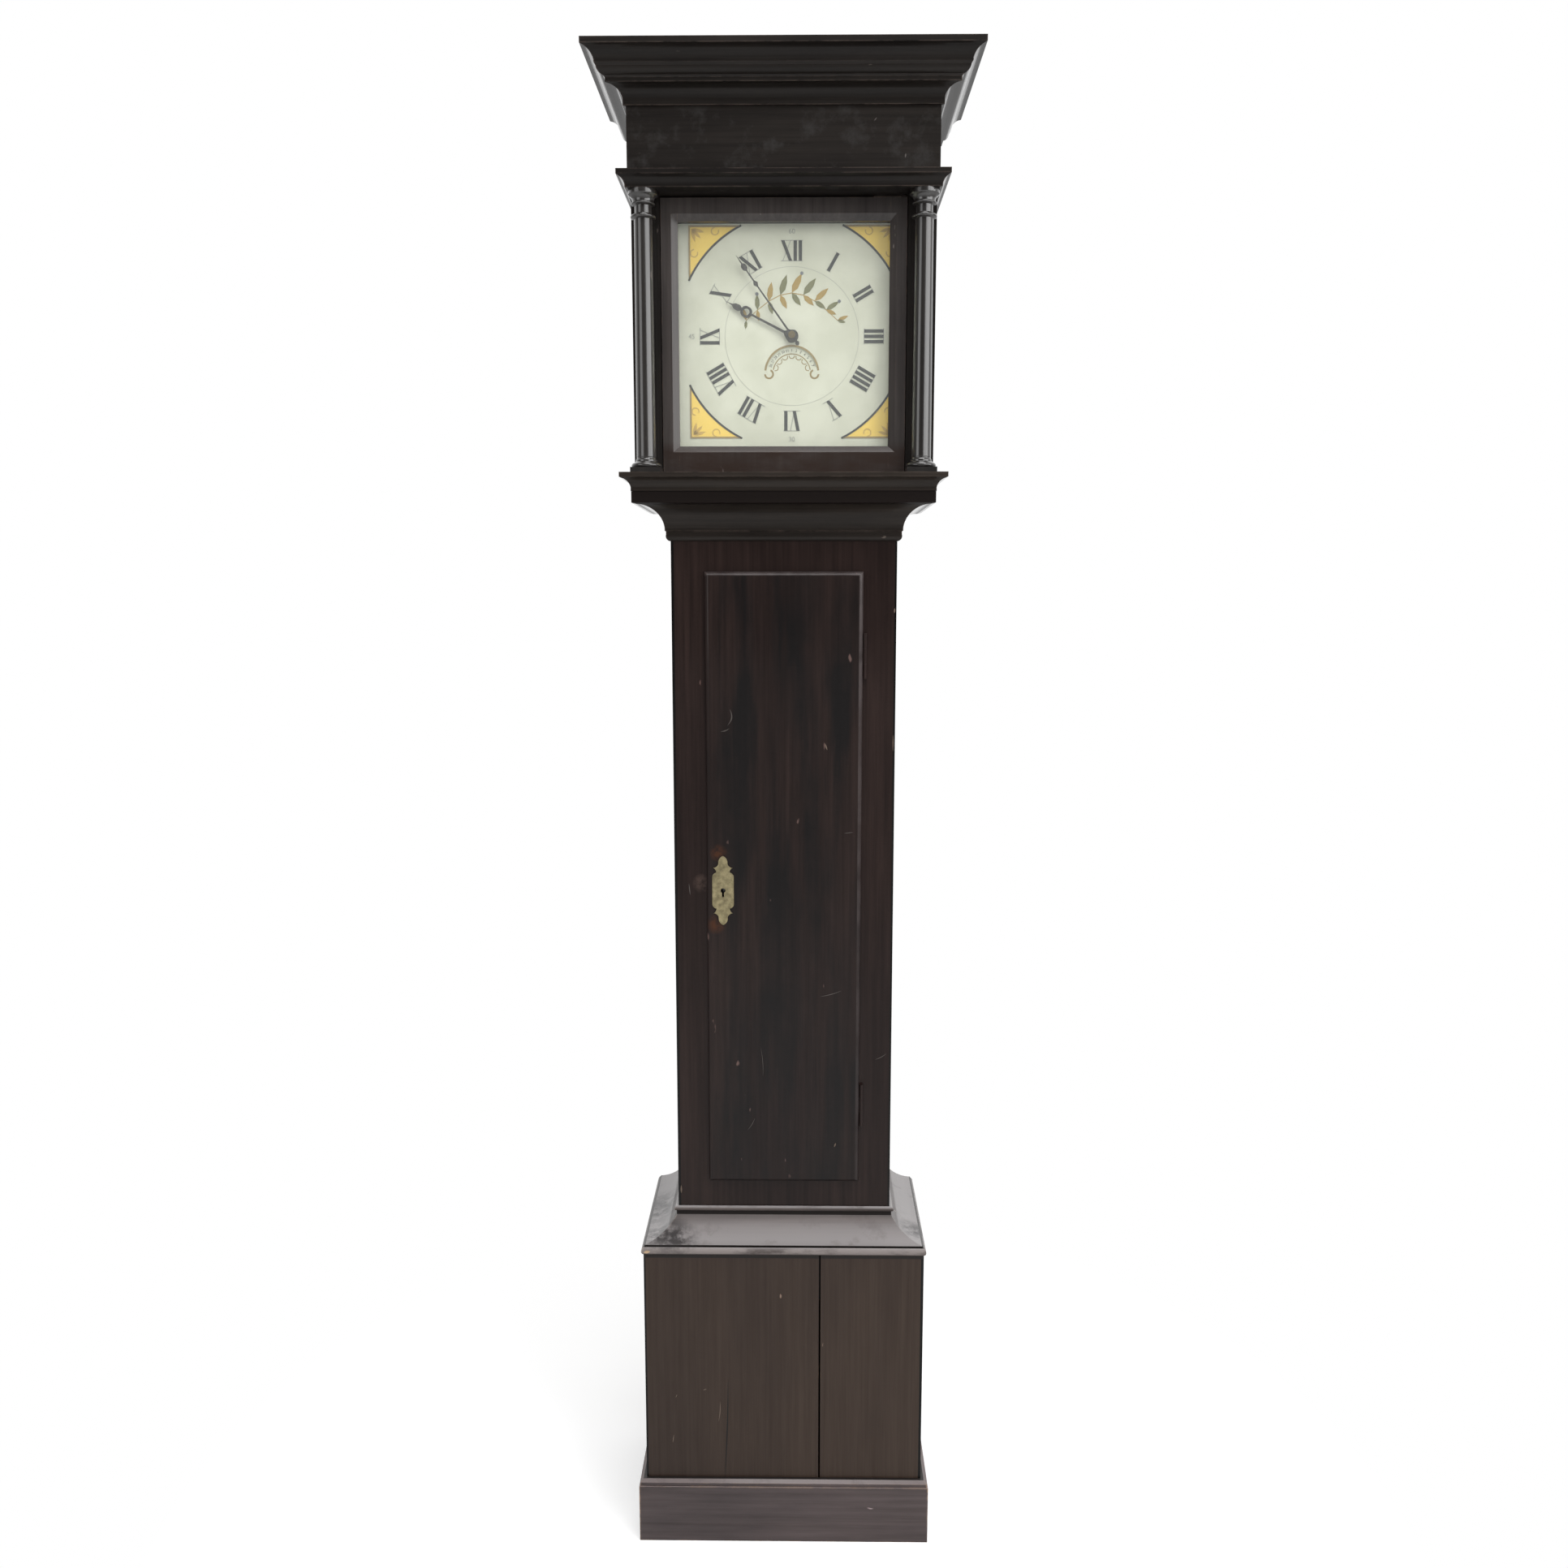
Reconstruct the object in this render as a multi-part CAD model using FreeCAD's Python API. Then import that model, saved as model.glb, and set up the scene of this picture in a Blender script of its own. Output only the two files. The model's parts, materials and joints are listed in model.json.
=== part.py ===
"""Thirty-hour longcase clock: case, hood, doors, dial, movement, pendulum and weight.

Millimetres. +Z is up, the front faces -Y, and the origin is under the middle of the case on the floor.
"""
import FreeCAD, Part
import math
import os

V = FreeCAD.Vector

# Heights, stacked from the floor up
base_height = 426.0
base_moulding_height = 50.0
trunk_height = 919.0
throat_height = 60.0
hood_base_height = 23.0
hood_opening_height = 342.0
middle_moulding_height = 19.0
frieze_height = 75.0
cornice_height = 61.0

# Widths, depths and projections
trunk_width = 296.0
trunk_depth = 176.0
base_projection = 45.0
hood_projection = 44.0
cornice_projection = 48.0
middle_moulding_projection = 12.5
hood_base_flare = 14.5

# Boards
side_board = 16.0
cheek_clearance = 3.0
front_board = 14.0
backboard_thickness = 12.0
base_board = 16.0
base_joint_from_middle = 50.0
base_joint_gap = 2.5
bottom_board_lift = 24.0
side_tail = 90.0
glue_block = 40.0
skirting_height = 92.0
skirting_thickness = 10.0
skirting_bevel_height = 4.0
skirting_bevel_depth = 4.5
skirting_strip_height = 5.0
skirting_ledge = 1.5
base_moulding_overhang = 3.0
nosing_height = 11.0
nosing_round = 3.0
nosing_quirk_height = 1.5
nosing_quirk_depth = 2.5
cavetto_foot_step = 1.0
cavetto_hollow = 0.27
base_bead_height = 6.0
base_bead_recess = 6.0
bead_projection = 5.5
throat_bead_height = 16.0
throat_rail_height = 14.0
throat_rail_overhang = 1.0

# Trunk door
trunk_door_width = 208.0
trunk_door_height = 840.0
door_lip = 8.0
door_lip_thickness = 9.0
door_body_depth = 7.0
door_body_clearance = 1.0
door_edge_round = 6.0
hinge_length = 60.0
hinge_from_end = 110.0
hinge_knuckle_radius = 2.6
hinge_pin_radius = 1.3
hinge_leaf = 1.5
hinge_leaf_width = 10.0
hinge_gap = 0.3
escutcheon_width = 29.0
escutcheon_height = 95.0
escutcheon_thickness = 1.2
escutcheon_from_edge = 22.0
escutcheon_drop = 5.0
keyhole_radius = 3.3
keyhole_slot_width = 2.6
keyhole_slot_length = 9.0
lock_width = 44.0
lock_height = 60.0
lock_depth = 10.0
lock_wall = 2.0
bolt_height = 14.0
bolt_thickness = 3.0
bolt_length = 26.0
bolt_travel = 8.0
bolt_clearance = 0.3

# Hood
hood_side_thickness = 12.0
hood_front_board = 16.0
hood_top_board = 10.0
hood_base_inset = 42.0
hood_slide_clearance = 0.3
column_radius = 12.5
column_from_middle = 174.5
column_setback = 15.0
column_plinth = 38.0
stile_setback = 35.0
stile_thickness = 16.0
hood_door_width = 310.0
hood_door_gap = 2.0
hood_door_thickness = 18.0
hood_door_stile = 21.0
hood_door_top_rail = 27.0
hood_door_bottom_rail = 35.0
hood_door_bevel = 8.0
hood_door_bevel_depth = 6.0
glass_thickness = 2.5
glass_rebate = 6.0
glass_rebate_depth = 8.0
pivot_radius = 2.0
pivot_length = 6.0
pivot_inset = 5.0
strap_thickness = 1.5
strap_length = 42.0
strap_width = 14.0
mask_thickness = 8.0
mask_gap = 1.0
mask_margin = 3.0

# Dial and hands
dial_size = 296.0
dial_from_middle = 10.0
dial_thickness = 1.5
dial_setback = 65.0
dial_centre_height = 178.0
dial_hole_radius = 7.0
calendar_drop = 46.0
calendar_radius = 37.0
calendar_slot_radius = 29.0
calendar_slot_width = 8.0
calendar_slot_angle = 150.0
calendar_gap = 0.4
calendar_stud_radius = 2.0
hand_thickness = 1.2
minute_hand_length = 122.0
hour_hand_length = 94.0
minute_hand_tail = 15.0
hand_piercing = 4.2
hour_hand_angle = 297.0
minute_hand_angle = 324.0
hour_hand_stand_off = 3.5
minute_hand_stand_off = 8.0
dial_foot_radius = 3.0
dial_foot_x = 62.0
dial_foot_z = 68.0

# Movement
plate_half_width = 80.0
plate_below = 95.0
plate_above = 75.0
plate_thickness = 3.0
plate_gap = 60.0
motion_space = 24.5
pillar_radius = 5.0
pillar_inset = 9.0
upper_pillar_inset = 40.0
arbor_radius = 2.5
fine_arbor_radius = 1.3
pivot_thin = 0.8
running_clearance = 0.05
end_shake = 0.4
wheel_thickness = 2.5
great_x = 32.0
great_drop = 44.0
escape_rise = 16.0
escape_radius = 22.0
anchor_rise = 33.0
pallet_clearance = 0.5
pallet_half = 0.5
pendulum_behind_plate = 22.0
pendulum_length = 994.0
rod_radius = 2.5
bob_radius = 55.0
bob_half_thickness = 14.0
crutch_length = 105.0
bell_radius = 50.0
bell_height = 42.0
bell_wall = 3.0
bell_above_plates = 8.0
bell_seat_gap = 0.4
seat_thickness = 20.0
seat_front_overhang = 14.0

# Rope, weight and counter ring
rope_radius = 2.4
pulley_radius = 12.5
pulley_width = 11.0
pulley_from_plate = 20.0
rope_clearance = 0.3
weight_radius = 26.0
weight_length = 272.0
sheave_drop = 475.0
sheave_width = 10.0
stirrup_length = 46.0
ring_radius = 9.5
ring_wire = 5.0
ring_forward = 41.0
ring_drop = 1130.0
bight_radius = 20.0
rope_end_gap = 0.3
cock_clearance = 6.0

# Levels worked out from the heights
z_trunk = base_height + base_moulding_height
z_throat = z_trunk + trunk_height
z_hood = z_throat + throat_height
z_sill = z_hood + hood_base_height
z_head = z_sill + hood_opening_height
z_frieze = z_head + middle_moulding_height
z_cornice = z_frieze + frieze_height
z_top = z_cornice + cornice_height
z_dial = z_sill + dial_centre_height
z_seat = z_dial - plate_below
z_trunk_tail = base_height - side_tail

# Faces worked out from the depths
back_y = (trunk_depth + hood_projection + cornice_projection) / 2
board_y = back_y - backboard_thickness
trunk_y = back_y - trunk_depth
base_y = trunk_y - base_projection
hood_y = trunk_y - hood_projection
hood_back_y = board_y - hood_slide_clearance
trunk_half = trunk_width / 2
base_half = trunk_half + base_projection
hood_half = trunk_half + hood_projection
hood_inner = hood_half - hood_side_thickness
stile_y = hood_y + stile_setback
hood_door_y = stile_y - 1.0
hood_door_back = hood_door_y + hood_door_thickness
hood_door_half = hood_door_width / 2
hood_pivot_x = hood_door_half - pivot_inset
dial_y = hood_y + dial_setback
dial_back = dial_y + dial_thickness
front_plate_y = dial_back + motion_space
between_y = front_plate_y + plate_thickness
back_plate_y = between_y + plate_gap
behind_y = back_plate_y + plate_thickness
rope_y = between_y + pulley_from_plate
pendulum_y = behind_y + pendulum_behind_plate
z_anchor = z_dial + escape_rise + anchor_rise

# Trunk door opening and hinge line
door_half = trunk_door_width / 2
door_low = z_trunk + (trunk_height - trunk_door_height) / 2
door_high = door_low + trunk_door_height
opening_half = door_half - door_lip
hinge_x = door_half + hinge_knuckle_radius + hinge_gap
hinge_y = trunk_y - hinge_knuckle_radius - hinge_gap
door_face_y = trunk_y - door_lip_thickness
door_back_y = trunk_y + door_body_depth
lock_x = escutcheon_from_edge - door_half
lock_z = (door_low + door_high) / 2 - escutcheon_drop


def box(x0, x1, y0, y1, z0, z1):
    return Part.makeBox(x1 - x0, y1 - y0, z1 - z0, V(x0, y0, z0))


def rod(start, end, radius):
    along = end - start
    return Part.makeCylinder(radius, along.Length, start, along)


def ring_solid(start, end, outer, inner):
    return rod(start, end, outer).cut(rod(start, end, inner))


def mirrored(shape):
    return shape.mirror(V(0, 0, 0), V(1, 0, 0))


def fused(shapes):
    whole = shapes[0].multiFuse(shapes[1:]) if len(shapes) > 1 else shapes[0]
    return whole.removeSplitter()


def group(shapes):
    solids = []
    for shape in shapes:
        solids.extend(shape.Solids)
    return Part.makeCompound(solids)


def bent_edges(points, place):
    """Edges through (a, b, bulge) points; bulge bends the edge that arrives at the point."""
    edges = []
    for number, (a1, b1, bulge) in enumerate(points):
        a0, b0, _ = points[number - 1]
        if bulge:
            middle = place((a0 + a1) / 2 + (b1 - b0) / 2 * bulge, (b0 + b1) / 2 - (a1 - a0) / 2 * bulge)
            edges.append(Part.Arc(place(a0, b0), middle, place(a1, b1)).toShape())
        else:
            edges.append(Part.LineSegment(place(a0, b0), place(a1, b1)).toShape())
    return edges


def bent_face(points, place):
    return Part.Face(Part.Wire(bent_edges(points, place)))


def plan_prism(corners, z0, z1):
    path = [V(x, y, z0) for x, y in corners]
    return Part.Face(Part.makePolygon(path + path[:1])).extrude(V(0, 0, z1 - z0))


def moulding(points, half, front, back, inset=0.0):
    """Mitred moulding round the front and both sides; points are (projection, height, bulge)."""
    low = min(point[1] for point in points) - 1
    high = max(point[1] for point in points) + 1
    reach = max(point[0] for point in points) + high - low
    inner = half - inset
    outer = half + reach
    long_face = bent_face(points, lambda p, z: V(-outer, front - p, z))
    long_piece = long_face.extrude(V(2 * outer, 0, 0))
    front_wedge = [(-inner, front + inset), (-outer, front - reach),
                   (outer, front - reach), (inner, front + inset)]
    side_face = bent_face(points, lambda p, z: V(half + p, front - reach, z))
    side_piece = side_face.extrude(V(0, back - front + reach, 0))
    side_wedge = [(inner, front + inset), (outer, front - reach), (outer, back), (inner, back)]
    front_piece = long_piece.common(plan_prism(front_wedge, low, high))
    right_piece = side_piece.common(plan_prism(side_wedge, low, high))
    return [front_piece, right_piece, mirrored(right_piece)]


# Case

def backboard():
    """One long board, with ears beside it in the base and behind the hood."""
    board = box(-trunk_half, trunk_half, board_y, back_y, 0, z_cornice)
    low = box(trunk_half, base_half - base_board, board_y, back_y, 0, base_height)
    high = box(trunk_half, hood_half, board_y, back_y, z_hood, z_cornice)
    return group([board, low, high, mirrored(low), mirrored(high)])


def trunk_sides():
    """Sides that rise behind the dial as cheeks and carry the seatboard."""
    top = z_seat - seat_thickness
    front = trunk_y + front_board
    cheek = dial_back + cheek_clearance
    points = [(front, z_trunk_tail, 0), (board_y, z_trunk_tail, 0), (board_y, top, 0), (cheek, top, 0),
              (cheek, z_hood, 0), (front, z_hood, 0)]
    inner = trunk_half - side_board
    right = bent_face(points, lambda y, z: V(inner, y, z)).extrude(V(side_board, 0, 0))
    return group([right, mirrored(right)])


def hinge_heights():
    return [door_low + hinge_from_end, door_high - hinge_from_end]


def trunk_front_frame():
    back = trunk_y + front_board
    opening_low = door_low + door_lip
    opening_high = door_high - door_lip
    right = box(opening_half, trunk_half, trunk_y, back, z_trunk_tail, z_hood)
    left = mirrored(right)
    for height in hinge_heights():
        low = height - hinge_length / 2
        right = right.cut(box(opening_half, hinge_x + hinge_knuckle_radius, trunk_y, trunk_y + hinge_leaf,
                              low, low + hinge_length))
    mortise_reach = bolt_travel + 2 * bolt_clearance
    mortise_low = lock_z - bolt_height / 2 - bolt_clearance
    mortise_y = door_back_y + lock_wall - bolt_clearance
    left = left.cut(box(-opening_half - mortise_reach, -opening_half, mortise_y,
                        mortise_y + bolt_thickness + 2 * bolt_clearance,
                        mortise_low, mortise_low + bolt_height + 2 * bolt_clearance))
    top = box(-opening_half, opening_half, trunk_y, back, opening_high, z_hood)
    bottom = box(-opening_half, opening_half, trunk_y, back, z_trunk_tail, opening_low)
    return group([left, right, top, bottom])


def base_front_boards():
    half_gap = base_joint_gap / 2
    left = box(-base_half, base_joint_from_middle - half_gap, base_y, base_y + base_board, 0, base_height)
    right = box(base_joint_from_middle + half_gap, base_half, base_y, base_y + base_board, 0, base_height)
    return group([left, right])


def base_sides():
    right = box(base_half - base_board, base_half, base_y + base_board, back_y, 0, base_height)
    return group([right, mirrored(right)])


def base_bottom():
    """Bottom board, blocks that hang the trunk in the base, and two that stiffen the foot."""
    low = base_height - glue_block
    inner_front = base_y + base_board
    inner_side = base_half - base_board
    middle_y = (trunk_y + board_y) / 2
    floor = bottom_board_lift + base_board
    board = box(-inner_side, inner_side, inner_front, board_y, bottom_board_lift, floor)
    front = box(trunk_half - 2 * glue_block, trunk_half - glue_block, inner_front, trunk_y, low, base_height)
    side = box(trunk_half, inner_side, middle_y - glue_block, middle_y + glue_block, low, base_height)
    foot = box(inner_side - glue_block / 2, inner_side, inner_front, inner_front + glue_block / 2, floor,
               floor + 3 * glue_block)
    blocks = [front, side, foot]
    return group([board] + blocks + [mirrored(block) for block in blocks])


def skirting():
    """Flat board with a narrow ledge, an upright strip and a small bevel along its top."""
    strip = skirting_thickness - skirting_ledge
    edge = strip - skirting_bevel_depth
    bevel_low = skirting_height - skirting_bevel_height
    ledge = bevel_low - skirting_strip_height
    points = [(0, 0, 0), (skirting_thickness, 0, 0), (skirting_thickness, ledge, 0), (strip, ledge, 0),
              (strip, bevel_low, 0), (edge, skirting_height, 0), (0, skirting_height, 0)]
    return group(moulding(points, base_half, base_y, back_y))


def base_moulding():
    """Rounded nosing, a narrow quirk, a broad cavetto, then a bead over a recess under the trunk."""
    low = base_height
    nosing = base_projection + base_moulding_overhang - nosing_round
    nosing_top = low + nosing_height
    quirk = nosing - nosing_quirk_depth
    quirk_top = nosing_top + nosing_quirk_height
    bead_low = z_trunk - base_bead_height
    recess = bead_projection - base_bead_height / 2
    points = [(0, low, 0), (nosing, low, 0), (nosing, nosing_top, 2 * nosing_round / nosing_height),
              (quirk, nosing_top, 0), (quirk, quirk_top, 0), (nosing - cavetto_foot_step, quirk_top, 0),
              (recess, bead_low - base_bead_recess, -cavetto_hollow), (recess, bead_low, 0),
              (recess, z_trunk, 1), (0, z_trunk, 0)]
    return group(moulding(points, trunk_half, trunk_y, back_y))


def throat_moulding():
    low = z_throat
    bead_top = low + throat_bead_height
    rail_low = z_hood - throat_rail_height
    out = hood_projection + throat_rail_overhang
    bead = bead_projection
    points = [(0, low, 0), (1.5, low, 0), (bead, low + 8, 0.41), (bead, bead_top - 4, 0),
              (bead + 1.5, bead_top - 3, 0), (bead + 1.5, bead_top, 0),
              (out - 5, rail_low - 1, -0.40), (out, rail_low, 0), (out, z_hood, 0), (0, z_hood, 0)]
    return group(moulding(points, trunk_half, trunk_y, board_y))


def seatboard():
    board = box(-trunk_half, trunk_half, front_plate_y - seat_front_overhang, behind_y + end_shake,
                z_seat - seat_thickness, z_seat)
    slot_half = pulley_radius + 4 * rope_radius
    slot_depth = 5 * rope_radius
    for centre in (dial_from_middle - great_x, dial_from_middle + great_x):
        board = board.cut(box(centre - slot_half, centre + slot_half, rope_y - slot_depth,
                              rope_y + slot_depth, z_seat - seat_thickness, z_seat))
    return board


# Trunk door with its hinges, lock and escutcheon

def keyhole(y0, y1):
    round_end = rod(V(lock_x, y0, lock_z), V(lock_x, y1, lock_z), keyhole_radius)
    half = keyhole_slot_width / 2
    slot = box(lock_x - half, lock_x + half, y0, y1, lock_z - keyhole_slot_length, lock_z)
    return round_end.fuse(slot)


def trunk_door_panel():
    lip = box(-door_half, door_half, door_face_y, trunk_y, door_low, door_high)
    front_edges = [edge for edge in lip.Edges if all(abs(v.Y - door_face_y) < 0.001 for v in edge.Vertexes)]
    lip = lip.makeFillet(door_edge_round, front_edges)
    inner = opening_half - door_body_clearance
    rise = door_lip + door_body_clearance
    body = box(-inner, inner, trunk_y, door_back_y, door_low + rise, door_high - rise)
    panel = fused([lip, body])
    for height in hinge_heights():
        low = height - hinge_length / 2
        panel = panel.cut(box(door_half - hinge_leaf_width, door_half, trunk_y - hinge_leaf - hinge_gap,
                              trunk_y, low, low + hinge_length))
    return panel.cut(keyhole(door_face_y, door_back_y))


def trunk_hinge_frame_leaves():
    hinges = []
    third = hinge_length / 3
    for height in hinge_heights():
        low = height - hinge_length / 2
        high = low + hinge_length
        leaf = box(opening_half, hinge_x + hinge_knuckle_radius, trunk_y, trunk_y + hinge_leaf, low, high)
        neck = box(hinge_x - hinge_pin_radius, hinge_x + hinge_knuckle_radius, hinge_y, trunk_y, low, high)
        barrel = rod(V(hinge_x, hinge_y, low), V(hinge_x, hinge_y, high), hinge_knuckle_radius)
        whole = fused([leaf, neck, barrel])
        room = hinge_knuckle_radius + hinge_gap
        middle_low = low + third - hinge_gap
        middle_high = low + 2 * third + hinge_gap
        whole = whole.cut(box(hinge_x - room, hinge_x + room, hinge_y - room, trunk_y,
                              middle_low, middle_high))
        pin = rod(V(hinge_x, hinge_y, low), V(hinge_x, hinge_y, high), hinge_pin_radius)
        hinges.append(fused([whole, pin]))
    return group(hinges)


def trunk_hinge_door_leaves():
    leaves = []
    third = hinge_length / 3
    leaf_y = trunk_y - hinge_gap
    for height in hinge_heights():
        low = height - hinge_length / 2
        bottom = V(hinge_x, hinge_y, low + third)
        top = V(hinge_x, hinge_y, low + 2 * third)
        leaf = box(door_half - hinge_leaf_width, door_half, leaf_y - hinge_leaf, leaf_y,
                   low, low + hinge_length)
        neck = box(door_half, hinge_x, hinge_y - hinge_leaf / 2, leaf_y, low + third, low + 2 * third)
        knuckle = rod(bottom, top, hinge_knuckle_radius)
        whole = fused([leaf, neck, knuckle])
        leaves.append(whole.cut(rod(bottom, top, hinge_pin_radius + running_clearance)))
    return group(leaves)


def escutcheon():
    """Pierced plate: pointed ogee ends, a waist notch near each end, symmetrical both ways."""
    half = escutcheon_width / 2
    tall = escutcheon_height / 2
    corner = [(0, tall, 0), (half * 0.42, tall * 0.82, -0.30), (half * 0.90, tall * 0.66, 0.45),
              (half * 0.62, tall * 0.52, 0.30), (half, tall * 0.40, -0.35), (half, 0, 0)]
    points = list(corner)
    for number in range(len(corner) - 2, -1, -1):
        points.append((corner[number][0], -corner[number][1], corner[number + 1][2]))
    for number in range(len(points) - 2, 0, -1):
        points.append((-points[number][0], points[number][1], points[number + 1][2]))
    points[0] = (0, tall, points[1][2])
    back = door_face_y
    face = bent_face(points, lambda x, z: V(lock_x + x, back, lock_z + z))
    plate = face.extrude(V(0, -escutcheon_thickness, 0))
    plate = plate.cut(keyhole(back - escutcheon_thickness, back))
    pins = []
    for side in (-1, 1):
        start = V(lock_x, back, lock_z + side * tall * 0.62)
        pins.append(rod(start, start + V(0, -escutcheon_thickness - 0.8, 0), 1.4))
    return fused([plate] + pins)


def lock_case():
    left = bolt_clearance - opening_half + door_lip / 2
    outer = box(left, left + lock_width, door_back_y, door_back_y + lock_depth, lock_z - lock_height / 2,
                lock_z + lock_height / 2)
    inner = box(left + lock_wall, left + lock_width - lock_wall, door_back_y + lock_wall - bolt_clearance,
                door_back_y + lock_depth - lock_wall, lock_z - lock_height / 2 + lock_wall,
                lock_z + lock_height / 2 - lock_wall)
    half = bolt_height / 2 + bolt_clearance
    mouth_y = door_back_y + lock_wall - bolt_clearance
    mouth = box(left, left + lock_wall, mouth_y, mouth_y + bolt_thickness + 2 * bolt_clearance, lock_z - half,
                lock_z + half)
    hole_low = lock_z - keyhole_slot_length
    key_way = box(lock_x - keyhole_radius, lock_x + keyhole_radius, door_back_y, door_back_y + lock_wall,
                  hole_low, lock_z + keyhole_radius)
    return outer.cut(inner).cut(mouth).cut(key_way)


def lock_bolt():
    left = bolt_clearance - opening_half + door_lip / 2
    y0 = door_back_y + lock_wall
    half = bolt_height / 2
    return box(left, left + bolt_length, y0, y0 + bolt_thickness, lock_z - half, lock_z + half)


# Hood

def hood_sides():
    top = z_top - hood_top_board
    front_low = stile_y
    front_high = hood_y + hood_front_board
    points = [(front_low, z_sill, 0), (hood_back_y, z_sill, 0), (hood_back_y, top, 0), (front_high, top, 0),
              (front_high, z_head, 0), (front_low, z_head, 0)]
    right = bent_face(points, lambda y, z: V(hood_inner, y, z)).extrude(V(hood_side_thickness, 0, 0))
    return group([right, mirrored(right)])


def hood_top():
    return box(-hood_half, hood_half, hood_y, hood_back_y, z_top - hood_top_board, z_top)


def hood_frieze():
    return box(-hood_half, hood_half, hood_y, hood_y + hood_front_board, z_head, z_top - hood_top_board)


def pivot_holes(shape):
    for side, level in ((1, z_head), (-1, z_sill)):
        start = V(hood_pivot_x, hood_door_y, level)
        shape = shape.cut(rod(start, start + V(0, 0, side * (pivot_length + hood_door_gap)),
                              pivot_radius + running_clearance))
    return shape


def hood_front_frame():
    back = stile_y + stile_thickness
    inner = hood_door_half + hood_door_gap / 2
    stile = box(inner, hood_inner, stile_y, back, z_sill, z_head)
    head = box(-hood_inner, hood_inner, hood_y + hood_front_board, back, z_head, z_frieze)
    return group([stile, mirrored(stile), pivot_holes(head)])


def hood_base_frame():
    low = z_hood + hood_slide_clearance
    flare = hood_base_flare
    points = [(-hood_base_inset, low, 0), (1.5, low, 0), (1.5, z_hood + 5, 0),
              (flare - 2.5, z_sill - 7, -0.30), (flare, z_sill - 6, 0), (flare, z_sill, 0),
              (-hood_base_inset, z_sill, 0)]
    pieces = moulding(points, hood_half, hood_y, hood_back_y, hood_base_inset)
    return group([pivot_holes(pieces[0]), pieces[1], pieces[2]])


def hood_middle_moulding():
    out = middle_moulding_projection
    points = [(0, z_head, 0), (3, z_head, 0), (3, z_head + 2, 0), (out - 2, z_frieze - 7, -0.30),
              (out, z_frieze - 6, 0), (out, z_frieze, 0), (0, z_frieze, 0)]
    return group(moulding(points, hood_half, hood_y, hood_back_y))


def cornice():
    out = cornice_projection
    low = z_cornice
    points = [(0, low, 0), (3.5, low, 0), (3.5, low + 6, 0), (out * 0.35, low + 20, -0.38),
              (out * 0.46, low + 20, 0), (out * 0.46, low + 25, 0), (out * 0.50, low + 27, 0),
              (out * 0.66, low + 35, 0.35), (out * 0.70, low + 38, 0), (out * 0.70, low + 41, 0),
              (out - 4, z_top - 8, -0.25), (out, z_top - 7, 0), (out, z_top, 0), (0, z_top, 0)]
    return group(moulding(points, hood_half, hood_y, hood_back_y))


def hood_columns():
    """Turned columns on square plinths, with a torus below and a ringed capital above."""
    low = z_sill
    plinth = 7.0
    half = column_plinth / 2
    r = column_radius
    shaft_top = z_head - 34
    y = hood_y + column_setback
    foot = low + plinth
    points = [(0, foot, 0), (r + 4, foot, 0), (r + 4, foot + 6, 0.9), (r + 1, foot + 8, 0),
              (r + 1, foot + 10, 0), (r, foot + 14, -0.3), (r - 1, shaft_top, 0), (r + 1.5, shaft_top + 1, 0),
              (r + 1.5, shaft_top + 5, 0.9), (r - 2, shaft_top + 7, 0), (r - 2, z_head - 18, 0),
              (r + 1, z_head - 17, 0), (r + 1, z_head - 14, 0.9), (r + 5, z_head - 6, -0.3),
              (r + 6, z_head - 5, 0), (r + 6, z_head, 0), (0, z_head, 0)]
    face = bent_face(points, lambda p, z: V(column_from_middle + p, y, z))
    turned = face.revolve(V(column_from_middle, y, 0), V(0, 0, 1), 360)
    square = box(column_from_middle - half, column_from_middle + half, y - half, y + half, low, low + plinth)
    right = fused([turned, square])
    return group([right, mirrored(right)])


def sight_edges():
    low = z_sill + hood_door_gap + hood_door_bottom_rail
    high = z_head - hood_door_gap - hood_door_top_rail
    return hood_door_half - hood_door_stile, low, high


def hood_mask():
    half, low, high = sight_edges()
    y0 = hood_door_back + mask_gap
    board = box(-hood_inner, hood_inner, y0, y0 + mask_thickness, z_sill, z_head)
    return board.cut(box(-half - mask_margin, half + mask_margin, y0, y0 + mask_thickness,
                         low - mask_margin, high + mask_margin))


def hood_door_frame():
    half, low, high = sight_edges()
    bottom = z_sill + hood_door_gap
    top = z_head - hood_door_gap
    whole = box(-hood_door_half, hood_door_half, hood_door_y, hood_door_back, bottom, top)
    whole = whole.cut(box(-half, half, hood_door_y, hood_door_back, low, high))
    bevel = hood_door_bevel
    wide = [V(-half - bevel, hood_door_y, low - bevel), V(half + bevel, hood_door_y, low - bevel),
            V(half + bevel, hood_door_y, high + bevel), V(-half - bevel, hood_door_y, high + bevel)]
    deep = hood_door_y + hood_door_bevel_depth
    narrow = [V(-half, deep, low), V(half, deep, low), V(half, deep, high), V(-half, deep, high)]
    outlines = [Part.makePolygon(wide + wide[:1]), Part.makePolygon(narrow + narrow[:1])]
    frustum = Part.makeLoft(outlines, True, True)
    whole = whole.cut(frustum)
    rebate_y = hood_door_back - glass_rebate_depth
    whole = whole.cut(box(-half - glass_rebate, half + glass_rebate, rebate_y, hood_door_back,
                          low - glass_rebate, high + glass_rebate))
    pieces = []
    for x0, x1 in ((-hood_door_half, -half), (half, hood_door_half)):
        pieces.append(whole.common(box(x0, x1, hood_door_y, hood_door_back, bottom, top)))
    for z0, z1 in ((bottom, low), (high, top)):
        pieces.append(whole.common(box(-half, half, hood_door_y, hood_door_back, z0, z1)))
    return group(pieces)


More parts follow.
